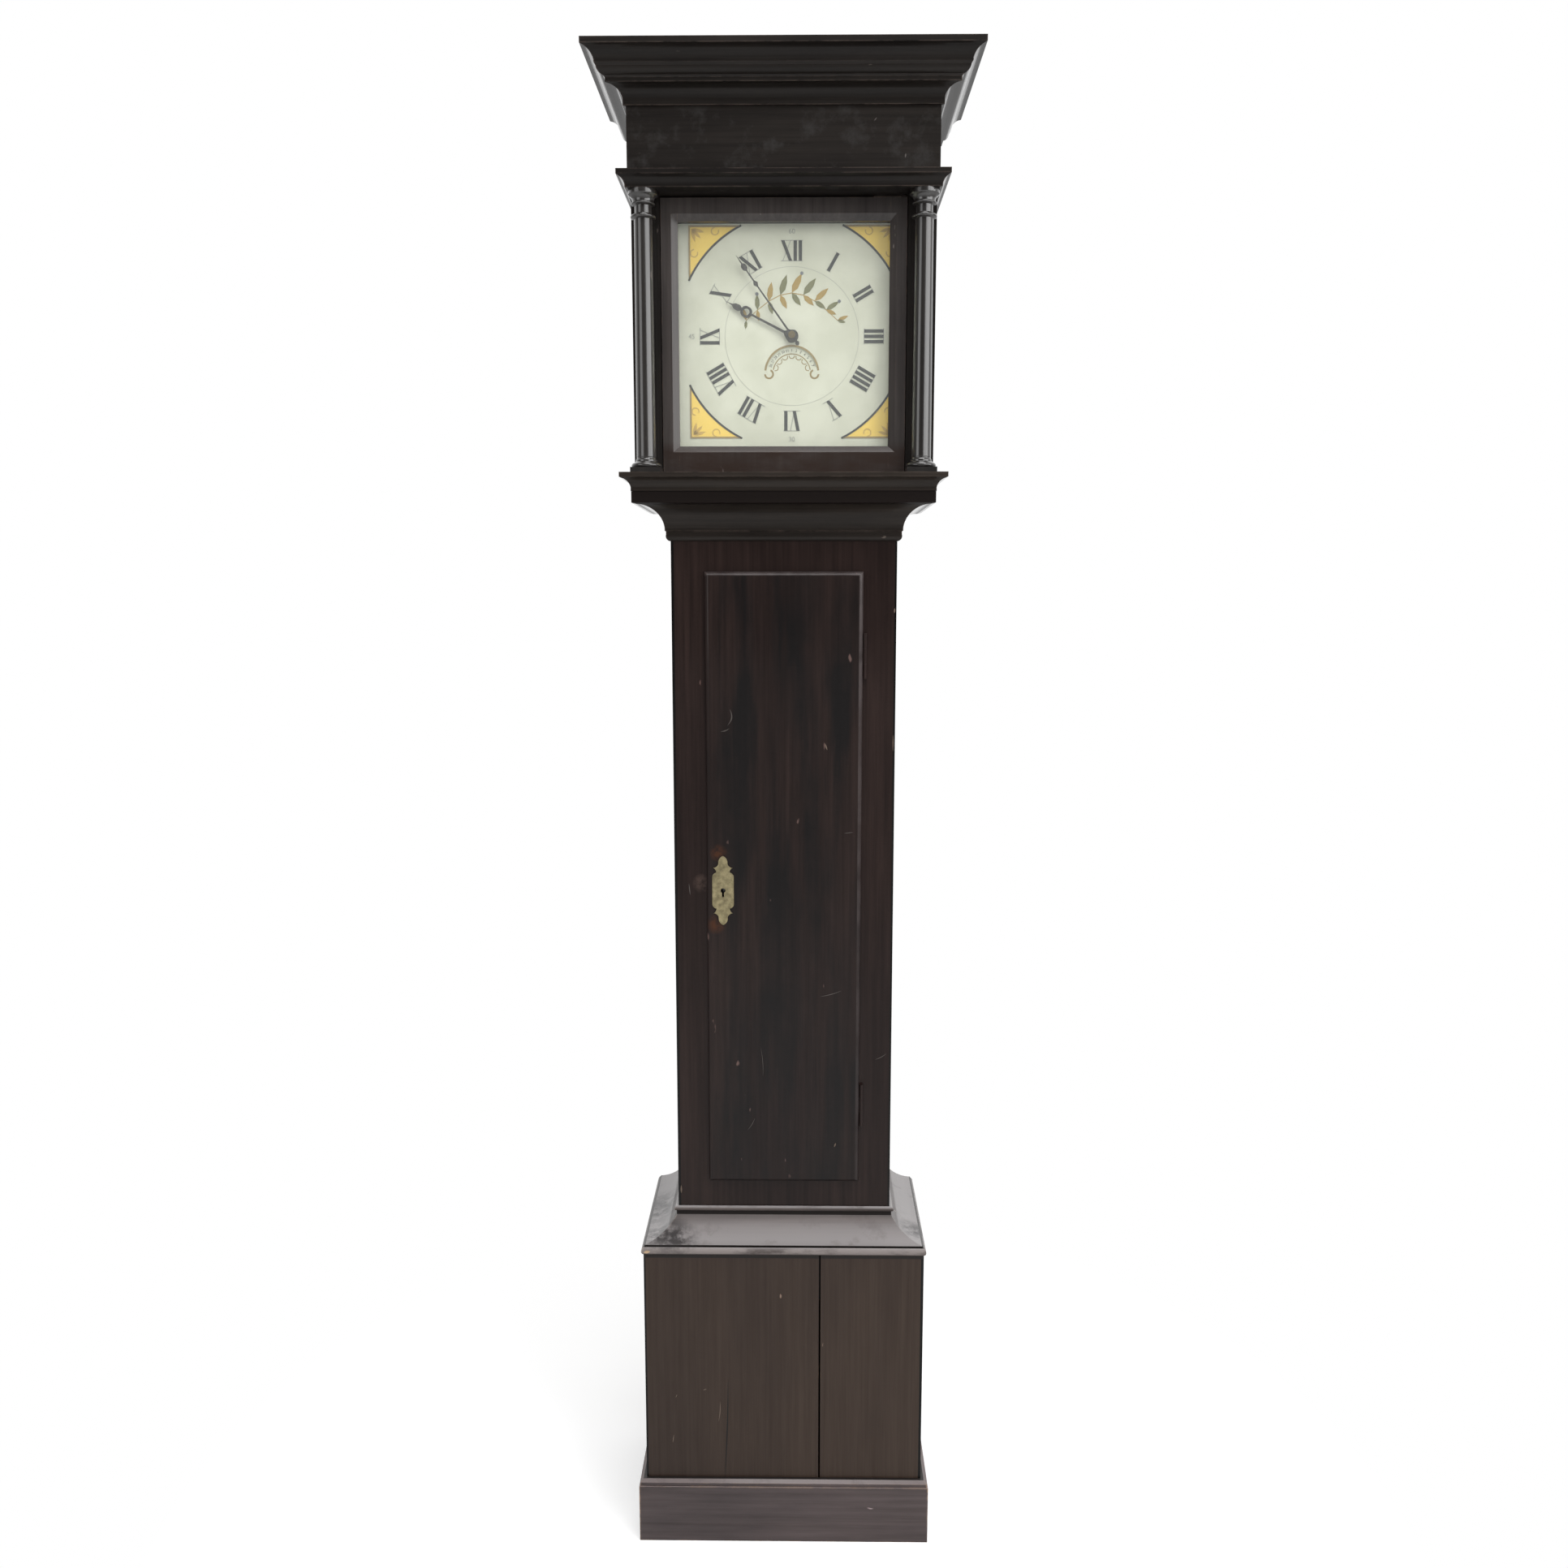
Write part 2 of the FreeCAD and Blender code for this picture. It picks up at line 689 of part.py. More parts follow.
def hood_glass():
    half, low, high = sight_edges()
    edge = glass_rebate - 0.5
    y0 = hood_door_back - glass_rebate_depth
    return box(-half - edge, half + edge, y0, y0 + glass_thickness, low - edge, high + edge)


def hood_door_straps():
    """Brass plates on the door's top and bottom edges, each with the pivot that turns in the hood."""
    straps = []
    for side, level in ((1, z_head - hood_door_gap), (-1, z_sill + hood_door_gap)):
        low = min(level, level + side * strap_thickness)
        high = low + strap_thickness
        plate = box(hood_door_half - strap_length, hood_door_half, hood_door_y, hood_door_y + strap_width,
                    low, high)
        ear = rod(V(hood_pivot_x, hood_door_y, low), V(hood_pivot_x, hood_door_y, high), 2 * pivot_radius)
        start = V(hood_pivot_x, hood_door_y, level)
        pin = rod(start, start + V(0, 0, side * (hood_door_gap + pivot_length)), pivot_radius)
        straps.append(fused([plate, ear, pin]))
    return group(straps)


# Dial and hands

def dial_point(x, y, z):
    return V(x, y, z_dial + z)


def dial_plate():
    half = dial_size / 2
    plate = box(-half, half, dial_y, dial_back, z_dial - half, z_dial + half)
    plate = plate.cut(rod(dial_point(0, dial_y, 0), dial_point(0, dial_back, 0), dial_hole_radius))
    inner = calendar_slot_radius - calendar_slot_width / 2
    outer = calendar_slot_radius + calendar_slot_width / 2
    start = math.radians(90 - calendar_slot_angle / 2)
    end = math.radians(90 + calendar_slot_angle / 2)

    def at(radius, angle):
        return dial_point(radius * math.cos(angle), dial_y, radius * math.sin(angle) - calendar_drop)

    def arc(radius, a, b):
        return Part.Arc(at(radius, a), at(radius, (a + b) / 2), at(radius, b)).toShape()

    edges = [arc(outer, start, end), Part.LineSegment(at(outer, end), at(inner, end)).toShape(),
             arc(inner, end, start), Part.LineSegment(at(inner, start), at(outer, start)).toShape()]
    plate = plate.cut(Part.Face(Part.Wire(edges)).extrude(V(0, dial_thickness, 0)))
    cap_y = dial_back + 2 * calendar_gap + dial_thickness
    cap_at = dial_point(0, cap_y, -calendar_drop)
    stud = rod(dial_point(0, dial_back, -calendar_drop), cap_at, calendar_stud_radius)
    cap = rod(cap_at, cap_at + V(0, dial_thickness, 0), 2 * calendar_stud_radius)
    feet = []
    for x in (-dial_foot_x, dial_foot_x):
        for z in (-dial_foot_z, dial_foot_z):
            feet.append(rod(dial_point(x, dial_back, z), dial_point(x, front_plate_y, z), dial_foot_radius))
    return fused([plate, stud, cap] + feet)


def calendar_disc():
    y0 = dial_back + calendar_gap
    return ring_solid(dial_point(0, y0, -calendar_drop), dial_point(0, y0 + dial_thickness, -calendar_drop),
                      calendar_radius, calendar_stud_radius + running_clearance)


def hand_blade(points, angle, y0):
    """Flat hand, drawn pointing up as half an outline, turned clockwise by the angle."""
    outline = list(points)
    for number in range(len(points) - 2, 0, -1):
        outline.append((-points[number][0], points[number][1], points[number + 1][2]))
    outline[0] = (points[0][0], points[0][1], points[1][2])
    face = bent_face(outline, lambda x, z: dial_point(x, y0, z))
    blade = face.extrude(V(0, hand_thickness, 0))
    blade.rotate(dial_point(0, y0, 0), V(0, 1, 0), angle)
    return blade


def bored(shape, y0, y1, x, z, radius):
    return shape.cut(rod(dial_point(x, y0, z), dial_point(x, y1, z), radius))


minute_pipe_radius = 3.2
hour_pipe_radius = 5.0
stud_radius = 1.6
hour_hand_y = dial_y - hour_hand_stand_off - hand_thickness
minute_hand_y = dial_y - minute_hand_stand_off - hand_thickness


def minute_hand():
    """Slender hand with a small lozenge and a leaf near the tip."""
    tip = minute_hand_length
    points = [(0, -minute_hand_tail, 0), (2.6, 4 - minute_hand_tail, 0.4), (1.2, -8, -0.2), (6, -4, 0.3),
              (6, 4, 0.3), (1.2, 9, -0.2), (0.9, tip * 0.61, 0), (3.2, tip * 0.645, 0), (0.9, tip * 0.68, 0),
              (0.9, tip * 0.81, 0), (3.4, tip * 0.85, 0.35), (0.9, tip * 0.89, 0.35), (0, tip, 0)]
    blade = hand_blade(points, minute_hand_angle, minute_hand_y)
    return bored(blade, minute_hand_y, minute_hand_y + hand_thickness, 0, 0, minute_pipe_radius)


def hour_hand():
    """Slender hand with a pierced round near the tip and a leaf beyond it."""
    tip = hour_hand_length
    points = [(0, -8.5, 0), (8.5, 0, 0.41), (1.6, 11, 0.1), (1.3, tip * 0.62, 0), (7.0, tip * 0.70, 0.41),
              (1.6, tip * 0.78, 0.41), (3.6, tip * 0.85, 0.35), (1.0, tip * 0.91, 0.3), (0, tip, 0)]
    blade = hand_blade(points, hour_hand_angle, hour_hand_y)
    back = hour_hand_y + hand_thickness
    x, z = from_centre(hand_centre, tip * 0.70, 90 - hour_hand_angle)
    blade = bored(blade, hour_hand_y, back, x, z, hand_piercing)
    return bored(blade, hour_hand_y, back, 0, 0, hour_pipe_radius)


# Movement: gear cutting and arbors

def toothed_disc(teeth, module, centre, y0, thickness, tooth_angle, leaf=False):
    """Wheel (or thin-leaved pinion) of trapezium teeth, with one tooth centred at tooth_angle in degrees."""
    x, z = centre
    pitch_radius = teeth * module / 2
    tip_radius = pitch_radius + (0.75 if leaf else 0.9) * module
    root_radius = pitch_radius - (1.35 if leaf else 1.2) * module
    pitch = math.pi * module
    tip_half = 0.09 * pitch / tip_radius
    root_half = (0.16 if leaf else 0.26) * pitch / root_radius
    path = []
    for number in range(teeth):
        tooth = math.radians(tooth_angle) + 2 * math.pi * number / teeth
        for radius, turn in ((root_radius, -root_half), (tip_radius, -tip_half), (tip_radius, tip_half),
                             (root_radius, root_half)):
            angle = tooth + turn
            path.append(dial_point(x + radius * math.cos(angle), y0, z + radius * math.sin(angle)))
    return Part.Face(Part.makePolygon(path + path[:1])).extrude(V(0, thickness, 0))


def crossed_out(wheel, centre, y0, thickness, rim_radius, hub_radius, arm_width):
    """Cuts the windows that leave four arms."""
    x, z = centre
    window = ring_solid(dial_point(x, y0, z), dial_point(x, y0 + thickness, z), rim_radius, hub_radius)
    half = arm_width / 2
    low = z_dial + z
    window = window.cut(box(x - rim_radius, x + rim_radius, y0, y0 + thickness, low - half, low + half))
    window = window.cut(box(x - half, x + half, y0, y0 + thickness, low - rim_radius, low + rim_radius))
    return wheel.cut(window)


def arbor(centre, front=None, back=None, radius=arbor_radius + 0.5):
    """Arbor between the plates, with thin pivots, or full-width ends that reach through a plate."""
    x, z = centre
    start = between_y + end_shake
    end = back_plate_y - end_shake
    pieces = [rod(dial_point(x, start, z), dial_point(x, end, z), radius)]
    first, front_radius = (front_plate_y, pivot_thin) if front is None else (front, arbor_radius)
    last, back_radius = (behind_y, pivot_thin) if back is None else (back, arbor_radius)
    pieces.append(rod(dial_point(x, first, z), dial_point(x, start, z), front_radius))
    pieces.append(rod(dial_point(x, end, z), dial_point(x, last, z), back_radius))
    return pieces


def rope_pulley(centre):
    x, z = centre
    y0 = rope_y - pulley_width / 2
    y1 = rope_y + pulley_width / 2
    groove = pulley_radius - rope_radius - rope_clearance
    rim = pulley_radius + 2 * rope_radius
    half = rope_radius + rope_clearance
    points = [(0, y0, 0), (rim, y0, 0), (rim, y0 + 1.2, 0), (groove, rope_y - half, 0),
              (groove, rope_y + half, 0), (rim, y1 - 1.2, 0), (rim, y1, 0), (0, y1, 0)]
    face = bent_face(points, lambda radius, y: dial_point(x + radius, y, z))
    return face.revolve(dial_point(x, 0, z), V(0, 1, 0), 360)


def heading(start, end):
    return math.degrees(math.atan2(end[1] - start[1], end[0] - start[0]))


def gap_angle(start, end, teeth):
    """Tooth angle that leaves a gap facing the other wheel."""
    return heading(start, end) + 180.0 / teeth


def from_centre(start, distance, angle):
    turn = math.radians(angle)
    return (start[0] + distance * math.cos(turn), start[1] + distance * math.sin(turn))


def where_circles_meet(a, ra, b, rb):
    apart = math.hypot(b[0] - a[0], b[1] - a[1])
    along = (ra * ra - rb * rb + apart * apart) / (2 * apart)
    aside = math.sqrt(ra * ra - along * along)
    ux, uz = (b[0] - a[0]) / apart, (b[1] - a[1]) / apart
    return (a[0] + along * ux - aside * uz, a[1] + along * uz + aside * ux)


# Tooth counts and places of the arbors, as (x, height above the dial centre)
great_teeth, second_pinion, second_teeth, escape_pinion, escape_teeth = 60, 8, 64, 8, 30
motion_teeth, hour_pinion, hour_teeth = 48, 6, 72
strike_teeth, hoop_pinion, hoop_teeth, warning_pinion, warning_teeth, fly_pinion = 72, 6, 60, 6, 48, 6
count_pinion, count_teeth = 8, 52
great_module, second_module, strike_module, hoop_module, count_module = 1.1, 0.9, 1.0, 0.8, 0.9
hand_centre = (0.0, 0.0)
great = (great_x, -great_drop)
escape = (0.0, escape_rise)
anchor_at = (0.0, escape_rise + anchor_rise)
second = where_circles_meet(escape, (second_teeth + escape_pinion) * second_module / 2,
                            great, (great_teeth + second_pinion) * great_module / 2)
strike = (-great_x, -great_drop)
hoop = from_centre(strike, (strike_teeth + hoop_pinion) * strike_module / 2, 100)
warning = from_centre(hoop, (hoop_teeth + warning_pinion) * hoop_module / 2, 80)
fly_at = from_centre(warning, (warning_teeth + fly_pinion) * hoop_module / 2, 90)
count_at = from_centre(strike, (count_teeth + count_pinion) * count_module / 2, 90)
hammer_at = (-70.0, -6.0)
motion_module = 2 * math.hypot(*great) / (2 * motion_teeth)
hour_module = 2 * math.hypot(*great) / (hour_teeth + hour_pinion)
great_wheel_y = between_y + 8
strike_wheel_y = between_y + 29
second_wheel_y = between_y + 40
escape_wheel_y = between_y + 50
hoop_wheel_y = between_y + 36
warning_wheel_y = between_y + 20
minute_wheel_y = front_plate_y - 5
hour_wheel_y = front_plate_y - 11
count_wheel_y = behind_y + 3
pin_radius = 1.5
pin_circle = 30.0


def pinion(teeth, module, centre, wheel_y, mate):
    """Pinion a little longer than the wheel it meets, with a gap facing that wheel."""
    reach = 2.5
    angle = gap_angle(centre, mate, teeth)
    return toothed_disc(teeth, module, centre, wheel_y - reach, wheel_thickness + 2 * reach, angle, leaf=True)


def wheel(teeth, module, centre, y0, angle, rim_width=3.5):
    disc = toothed_disc(teeth, module, centre, y0, wheel_thickness, angle)
    rim = teeth * module / 2 - rim_width
    return crossed_out(disc, centre, y0, wheel_thickness, rim, 8.0, 5.0)


def going_great_wheel():
    pieces = arbor(great, front=hour_wheel_y - 3)
    pieces.append(wheel(great_teeth, great_module, great, great_wheel_y, heading(great, second)))
    pieces.append(rope_pulley(great))
    pieces.append(wheel(motion_teeth, motion_module, great, minute_wheel_y, heading(great, hand_centre)))
    pieces.append(pinion(hour_pinion, hour_module, great, hour_wheel_y, hand_centre))
    return fused(pieces)


def going_second_wheel():
    pieces = arbor(second)
    pieces.append(pinion(second_pinion, great_module, second, great_wheel_y, great))
    pieces.append(wheel(second_teeth, second_module, second, second_wheel_y, heading(second, escape)))
    return fused(pieces)


def escape_wheel():
    """Pointed teeth, each pallet standing a quarter of a tooth from the nearest tip."""
    pieces = arbor(escape, radius=fine_arbor_radius)
    pieces.append(pinion(escape_pinion, second_module, escape, second_wheel_y, second))
    root = escape_radius - 5
    path = []
    step = 2 * math.pi / escape_teeth
    for number in range(escape_teeth):
        tip = math.pi / 2 + (number + 0.25) * step
        for radius, share in ((root, -0.30), (escape_radius, -0.03), (escape_radius, 0.03), (root, 0.18)):
            angle = tip + share * step
            path.append(dial_point(escape[0] + radius * math.cos(angle), escape_wheel_y,
                                   escape[1] + radius * math.sin(angle)))
    disc = Part.Face(Part.makePolygon(path + path[:1])).extrude(V(0, wheel_thickness, 0))
    pieces.append(crossed_out(disc, escape, escape_wheel_y, wheel_thickness, root - 3, 6.0, 4.0))
    return fused(pieces)


def anchor():
    """Anchor pallets, their arbor, and the crutch that reaches down to the pendulum."""
    crutch_y = behind_y + 6
    pieces = arbor(anchor_at, back=crutch_y + 3)
    gap_turn = 4 * 360.0 / escape_teeth
    nib_angle = 90 - gap_turn
    nib_tip = from_centre(escape, escape_radius + pallet_clearance, nib_angle)
    nib_top = from_centre(escape, escape_radius + 7.0, nib_angle)
    arm_y = escape_wheel_y - 0.5
    depth = wheel_thickness + 1

    def flat(points):
        path = [dial_point(x, arm_y, z) for x, z in points]
        return Part.Face(Part.makePolygon(path + path[:1])).extrude(V(0, depth, 0))

    across = (math.sin(math.radians(nib_angle)), -math.cos(math.radians(nib_angle)))
    nib = [(nib_tip[0] + pallet_half * across[0], nib_tip[1] + pallet_half * across[1]),
           (nib_top[0] + 1.8 * across[0], nib_top[1] + 1.8 * across[1]),
           (nib_top[0] - 1.8 * across[0], nib_top[1] - 1.8 * across[1]),
           (nib_tip[0] - pallet_half * across[0], nib_tip[1] - pallet_half * across[1])]
    top = anchor_at[1]
    arm = [(-1, top + 5), (8, top + 3), (nib_top[0] + 2.5, nib_top[1] + 1),
           (nib_top[0] - 2.5, nib_top[1] - 1.5), (6, top - 4), (-1, top - 5)]
    half = fused([flat(nib), flat(arm)])
    pieces.extend([half, mirrored(half)])
    foot_z = top - crutch_length
    pieces.append(rod(dial_point(0, crutch_y + 1.5, top - 3), dial_point(0, crutch_y + 1.5, foot_z), 1.2))
    pieces.append(rod(dial_point(0, crutch_y, top), dial_point(0, crutch_y + 3, top), 4.5))
    fork = box(-7, 7, crutch_y, pendulum_y + 6, z_dial + foot_z - 3, z_dial + foot_z + 3)
    slot = rod_radius + 0.2
    fork = fork.cut(box(-slot, slot, pendulum_y - 2 * rod_radius, pendulum_y + 6, z_dial + foot_z - 3,
                        z_dial + foot_z + 3))
    pieces.append(fork)
    return fused(pieces)


def back_cock():
    """Bracket behind the back plate that carries the pendulum's suspension spring."""
    low = z_anchor + cock_clearance
    arm = box(-7, 7, behind_y, pendulum_y + 5, low, low + 14)
    foot = box(-14, 14, behind_y, behind_y + 3, low, low + 14)
    chops = box(-6, 6, pendulum_y - 4, pendulum_y + 4, z_anchor, low)
    return fused([arm, foot, chops])


def pendulum_rod():
    """Suspension spring, its brass block, and the rod down to the rating thread."""
    bob_z = z_anchor - pendulum_length
    spring = box(-4, 4, pendulum_y - 0.3, pendulum_y + 0.3, z_anchor - 20, z_anchor - 0.3)
    block = box(-4, 4, pendulum_y - rod_radius, pendulum_y + rod_radius, z_anchor - 34, z_anchor - 20)
    shaft = rod(V(0, pendulum_y, bob_z - bob_radius - 30), V(0, pendulum_y, z_anchor - 30), rod_radius)
    return fused([spring, block, shaft])


def pendulum_bob():
    """Lens-shaped bob that slides on the rod, and the rating nut under it."""
    bob_z = z_anchor - pendulum_length
    nut_top = bob_z - bob_radius
    hole = rod_radius + running_clearance
    sphere = (bob_radius ** 2 + bob_half_thickness ** 2) / (2 * bob_half_thickness)
    offset = sphere - bob_half_thickness
    lens = Part.makeSphere(sphere, V(0, pendulum_y - offset, bob_z))
    lens = lens.common(Part.makeSphere(sphere, V(0, pendulum_y + offset, bob_z)))
    reach = bob_radius + 1
    lens = lens.cut(rod(V(0, pendulum_y, bob_z - reach), V(0, pendulum_y, bob_z + reach), hole))
    nut = ring_solid(V(0, pendulum_y, nut_top - 7), V(0, pendulum_y, nut_top), 9.0, hole)
    return group([lens, nut])


# Motion work

def minute_wheel():
    first = minute_hand_y - 2
    angle = gap_angle(hand_centre, great, motion_teeth)
    pieces = [wheel(motion_teeth, motion_module, hand_centre, minute_wheel_y, angle),
              rod(dial_point(0, first, 0), dial_point(0, front_plate_y - 1, 0), minute_pipe_radius)]
    return bored(fused(pieces), first, front_plate_y, 0, 0, stud_radius + running_clearance)


def hour_wheel():
    first = hour_hand_y - 1
    last = hour_wheel_y + wheel_thickness
    pieces = [wheel(hour_teeth, hour_module, hand_centre, hour_wheel_y, heading(hand_centre, great)),
              rod(dial_point(0, first, 0), dial_point(0, last, 0), hour_pipe_radius)]
    return bored(fused(pieces), first, last, 0, 0, minute_pipe_radius + running_clearance)


# Strike train

def strike_great_wheel():
    pieces = arbor(strike, back=count_wheel_y + wheel_thickness + 3)
    pieces.append(wheel(strike_teeth, strike_module, strike, strike_wheel_y, heading(strike, hoop), 9.0))
    pieces.append(rope_pulley(strike))
    for number in range(12):
        x, z = from_centre(strike, pin_circle, 30 * number)
        start = strike_wheel_y + wheel_thickness / 2
        pieces.append(rod(dial_point(x, start, z), dial_point(x, start + 5, z), pin_radius))
    pieces.append(pinion(count_pinion, count_module, strike, count_wheel_y, count_at))
    return fused(pieces)


def hoop_wheel():
    pieces = arbor(hoop, radius=fine_arbor_radius)
    pieces.append(pinion(hoop_pinion, strike_module, hoop, strike_wheel_y, strike))
    pieces.append(wheel(hoop_teeth, hoop_module, hoop, hoop_wheel_y, heading(hoop, warning)))
    return fused(pieces)


def warning_wheel():
    pieces = arbor(warning, radius=fine_arbor_radius)
    pieces.append(pinion(warning_pinion, hoop_module, warning, hoop_wheel_y, hoop))
    pieces.append(wheel(warning_teeth, hoop_module, warning, warning_wheel_y, heading(warning, fly_at)))
    return fused(pieces)


def fly():
    pieces = arbor(fly_at, radius=fine_arbor_radius)
    pieces.append(pinion(fly_pinion, hoop_module, fly_at, warning_wheel_y, warning))
    x, z = fly_at
    low = z_dial + z
    pieces.append(box(x - 15, x + 15, between_y + 30, between_y + 46, low - 0.6, low + 0.6))
    return fused(pieces)


def count_wheel():
    """Toothed wheel with the notched ring that counts one to twelve."""
    x, z = count_at
    y0 = count_wheel_y
    y1 = y0 + wheel_thickness
    disc = toothed_disc(count_teeth, count_module, count_at, y0, wheel_thickness, heading(count_at, strike))
    rim = count_teeth * count_module / 2 - 3 * count_module
    ring = ring_solid(dial_point(x, y1, z), dial_point(x, y1 + 3, z), rim, rim - 2.5)
    blows = 0
    for hour in range(1, 13):
        blows += hour
        turn = 360.0 * blows / 78
        notch = box(x + rim - 3, x + rim + 1, y1, y1 + 3, z_dial + z - 0.7, z_dial + z + 0.7)
        notch.rotate(dial_point(x, y1, z), V(0, 1, 0), turn)
        ring = ring.cut(notch)
    return bored(fused([disc, ring]), y0, y1 + 3, x, z, stud_radius + running_clearance)


def hammer():
    """Arbor, tail in the path of the hammer pins, stem and head."""
    x, z = hammer_at
    head_z = plate_above + bell_above_plates + 5
    head_x = -bell_radius - 1.5
    stem_y = between_y + plate_gap / 2
    pieces = arbor(hammer_at)
    tail_y = strike_wheel_y + wheel_thickness + 1.5
    pieces.append(rod(dial_point(x, tail_y, z), dial_point(x + 12, tail_y, z - 18), 1.2))
    pieces.append(rod(dial_point(x, stem_y, z), dial_point(head_x - 8, stem_y, head_z), 1.6))
    pieces.append(rod(dial_point(head_x - 14, stem_y, head_z), dial_point(head_x, stem_y, head_z), 6.0))
    return fused(pieces)


def bell():
    mouth = plate_above + bell_above_plates
    y = between_y + plate_gap / 2
    r = bell_radius
    crown = mouth + bell_height
    points = [(2.8, crown, 0.12), (2.8, crown - bell_wall, 0), (r * 0.55, crown - bell_wall - 5, -0.12),
              (r - bell_wall, mouth, -0.35), (r, mouth, 0), (r * 0.62, crown - 5, 0.35)]
    face = bent_face(points, lambda p, z: dial_point(p, y, z))
    return face.revolve(dial_point(0, y, 0), V(0, 0, 1), 360)


def bell_stand():
    """Steel strap from the back plate into the bell, with the stud and nut that hold it."""
    mouth = z_dial + plate_above + bell_above_plates
    y = between_y + plate_gap / 2
    shelf = mouth + 6
    crown = mouth + bell_height
    post = box(15, 23, behind_y, behind_y + 3, z_dial + 20, shelf + 4)
    arm = box(15, 23, y - 5, behind_y + 3, shelf, shelf + 4)
    shelf_arm = box(-5, 23, y - 5, y + 5, shelf, shelf + 4)
    stud = rod(V(0, y, shelf), V(0, y, crown + 6), 2.6)
    collar = rod(V(0, y, shelf), V(0, y, crown - bell_wall - bell_seat_gap), 5.0)
    nut = rod(V(0, y, crown + bell_seat_gap), V(0, y, crown + 5), 6.0)
    return fused([post, arm, shelf_arm, stud, collar, nut])


# Movement frame

def pivot_places():
    return [second, escape, hoop, warning, fly_at, hammer_at]


def front_plate():
    plate = box(-plate_half_width, plate_half_width, front_plate_y, between_y, z_dial - plate_below,
                z_dial + plate_above)
    for x, z in pivot_places() + [anchor_at, strike]:
        plate = bored(plate, front_plate_y, between_y, x, z, pivot_thin + running_clearance)
    plate = bored(plate, front_plate_y, between_y, great[0], great[1], arbor_radius + running_clearance)
    centre_stud = rod(dial_point(0, minute_hand_y - 6, 0), dial_point(0, front_plate_y, 0), stud_radius)
    washer = rod(dial_point(0, minute_hand_y - 5, 0), dial_point(0, minute_hand_y - 2.4, 0), 4.5)
    return fused([plate, centre_stud, washer])


def back_plate():
    """Back plate with the four pillars that hold the plates apart; the upper two clear the hammer."""
    plate = box(-plate_half_width, plate_half_width, back_plate_y, behind_y, z_dial - plate_below,
                z_dial + plate_above)
    for x, z in pivot_places() + [great]:
        plate = bored(plate, back_plate_y, behind_y, x, z, pivot_thin + running_clearance)
    for x, z in (anchor_at, strike):
        plate = bored(plate, back_plate_y, behind_y, x, z, arbor_radius + running_clearance)
    x, z = count_at
    end = count_wheel_y + wheel_thickness + 4
    stud = rod(dial_point(x, behind_y, z), dial_point(x, end, z), stud_radius)
    posts = []
    rows = [(pillar_inset, pillar_inset - plate_below), (upper_pillar_inset, plate_above - pillar_inset)]
    for inset, z in rows:
        for x in (inset - plate_half_width, plate_half_width - inset):
            posts.append(rod(dial_point(x, between_y, z), dial_point(x, back_plate_y, z), pillar_radius))
    return group([fused([plate, stud])] + posts)


# Rope, weight and counter ring

z_pulley = z_dial - great_drop
z_sheave = z_pulley - sheave_drop
sheave_radius = great_x - pulley_radius
z_bight = z_pulley - ring_drop
ring_y = rope_y - ring_forward


def bent_rope(start, through, end, direction):
    section = Part.Wire([Part.Circle(start, direction, rope_radius).toShape()])
    return Part.Wire([Part.Arc(start, through, end).toShape()]).makePipeShell([section], True, False)


def pulley_rope():
    """The two turns over the pulleys."""
    right = bent_rope(V(sheave_radius, rope_y, z_pulley), V(great_x, rope_y, z_pulley + pulley_radius),
                      V(great_x + pulley_radius, rope_y, z_pulley), V(0, 0, 1))
    return group([right, mirrored(right)])


def weight_rope():
    """Inner falls, from the pulleys down to the sheave."""
    right = rod(V(sheave_radius, rope_y, z_sheave), V(sheave_radius, rope_y, z_pulley), rope_radius)
    return group([right, mirrored(right)])


def sheave_rope():
    """The turn under the sheave that carries the weight."""
    return bent_rope(V(-sheave_radius, rope_y, z_sheave), V(0, rope_y, z_sheave - sheave_radius),
                     V(sheave_radius, rope_y, z_sheave), V(0, 0, -1))


def ring_rope():
    """Outer falls, from the pulleys down and forward to the counter ring in front of the weight."""
    top = V(great_x + pulley_radius, rope_y, z_pulley)
    end = V(bight_radius, ring_y, z_bight)
    short = (top - end).normalize() * rope_end_gap
    right = rod(top, end + short, rope_radius)
    return group([right, mirrored(right)])


def ring_loop():
    """The bight of the rope that the counter ring hangs on."""
    return bent_rope(V(-bight_radius, ring_y, z_bight), V(0, ring_y, z_bight - bight_radius),
                     V(bight_radius, ring_y, z_bight), V(0, 0, -1))


def counter_ring():
    z_wire = z_bight - bight_radius + rope_radius + rope_clearance + ring_wire
    return Part.makeTorus(ring_radius, ring_wire, V(0, ring_y, z_wire - ring_radius), V(1, 0, 0))


def weight_sheave():
    y0 = rope_y - sheave_width / 2
    y1 = rope_y + sheave_width / 2
    groove = sheave_radius - rope_radius - rope_clearance
    rim = sheave_radius + rope_radius
    half = rope_radius + rope_clearance
    points = [(2.5 + running_clearance, y0, 0), (rim, y0, 0), (rim, y0 + 1, 0), (groove, rope_y - half, 0),
              (groove, rope_y + half, 0), (rim, y1 - 1, 0), (rim, y1, 0), (2.5 + running_clearance, y1, 0)]
    face = bent_face(points, lambda radius, y: V(radius, y, z_sheave))
    return face.revolve(V(0, 0, z_sheave), V(0, 1, 0), 360)


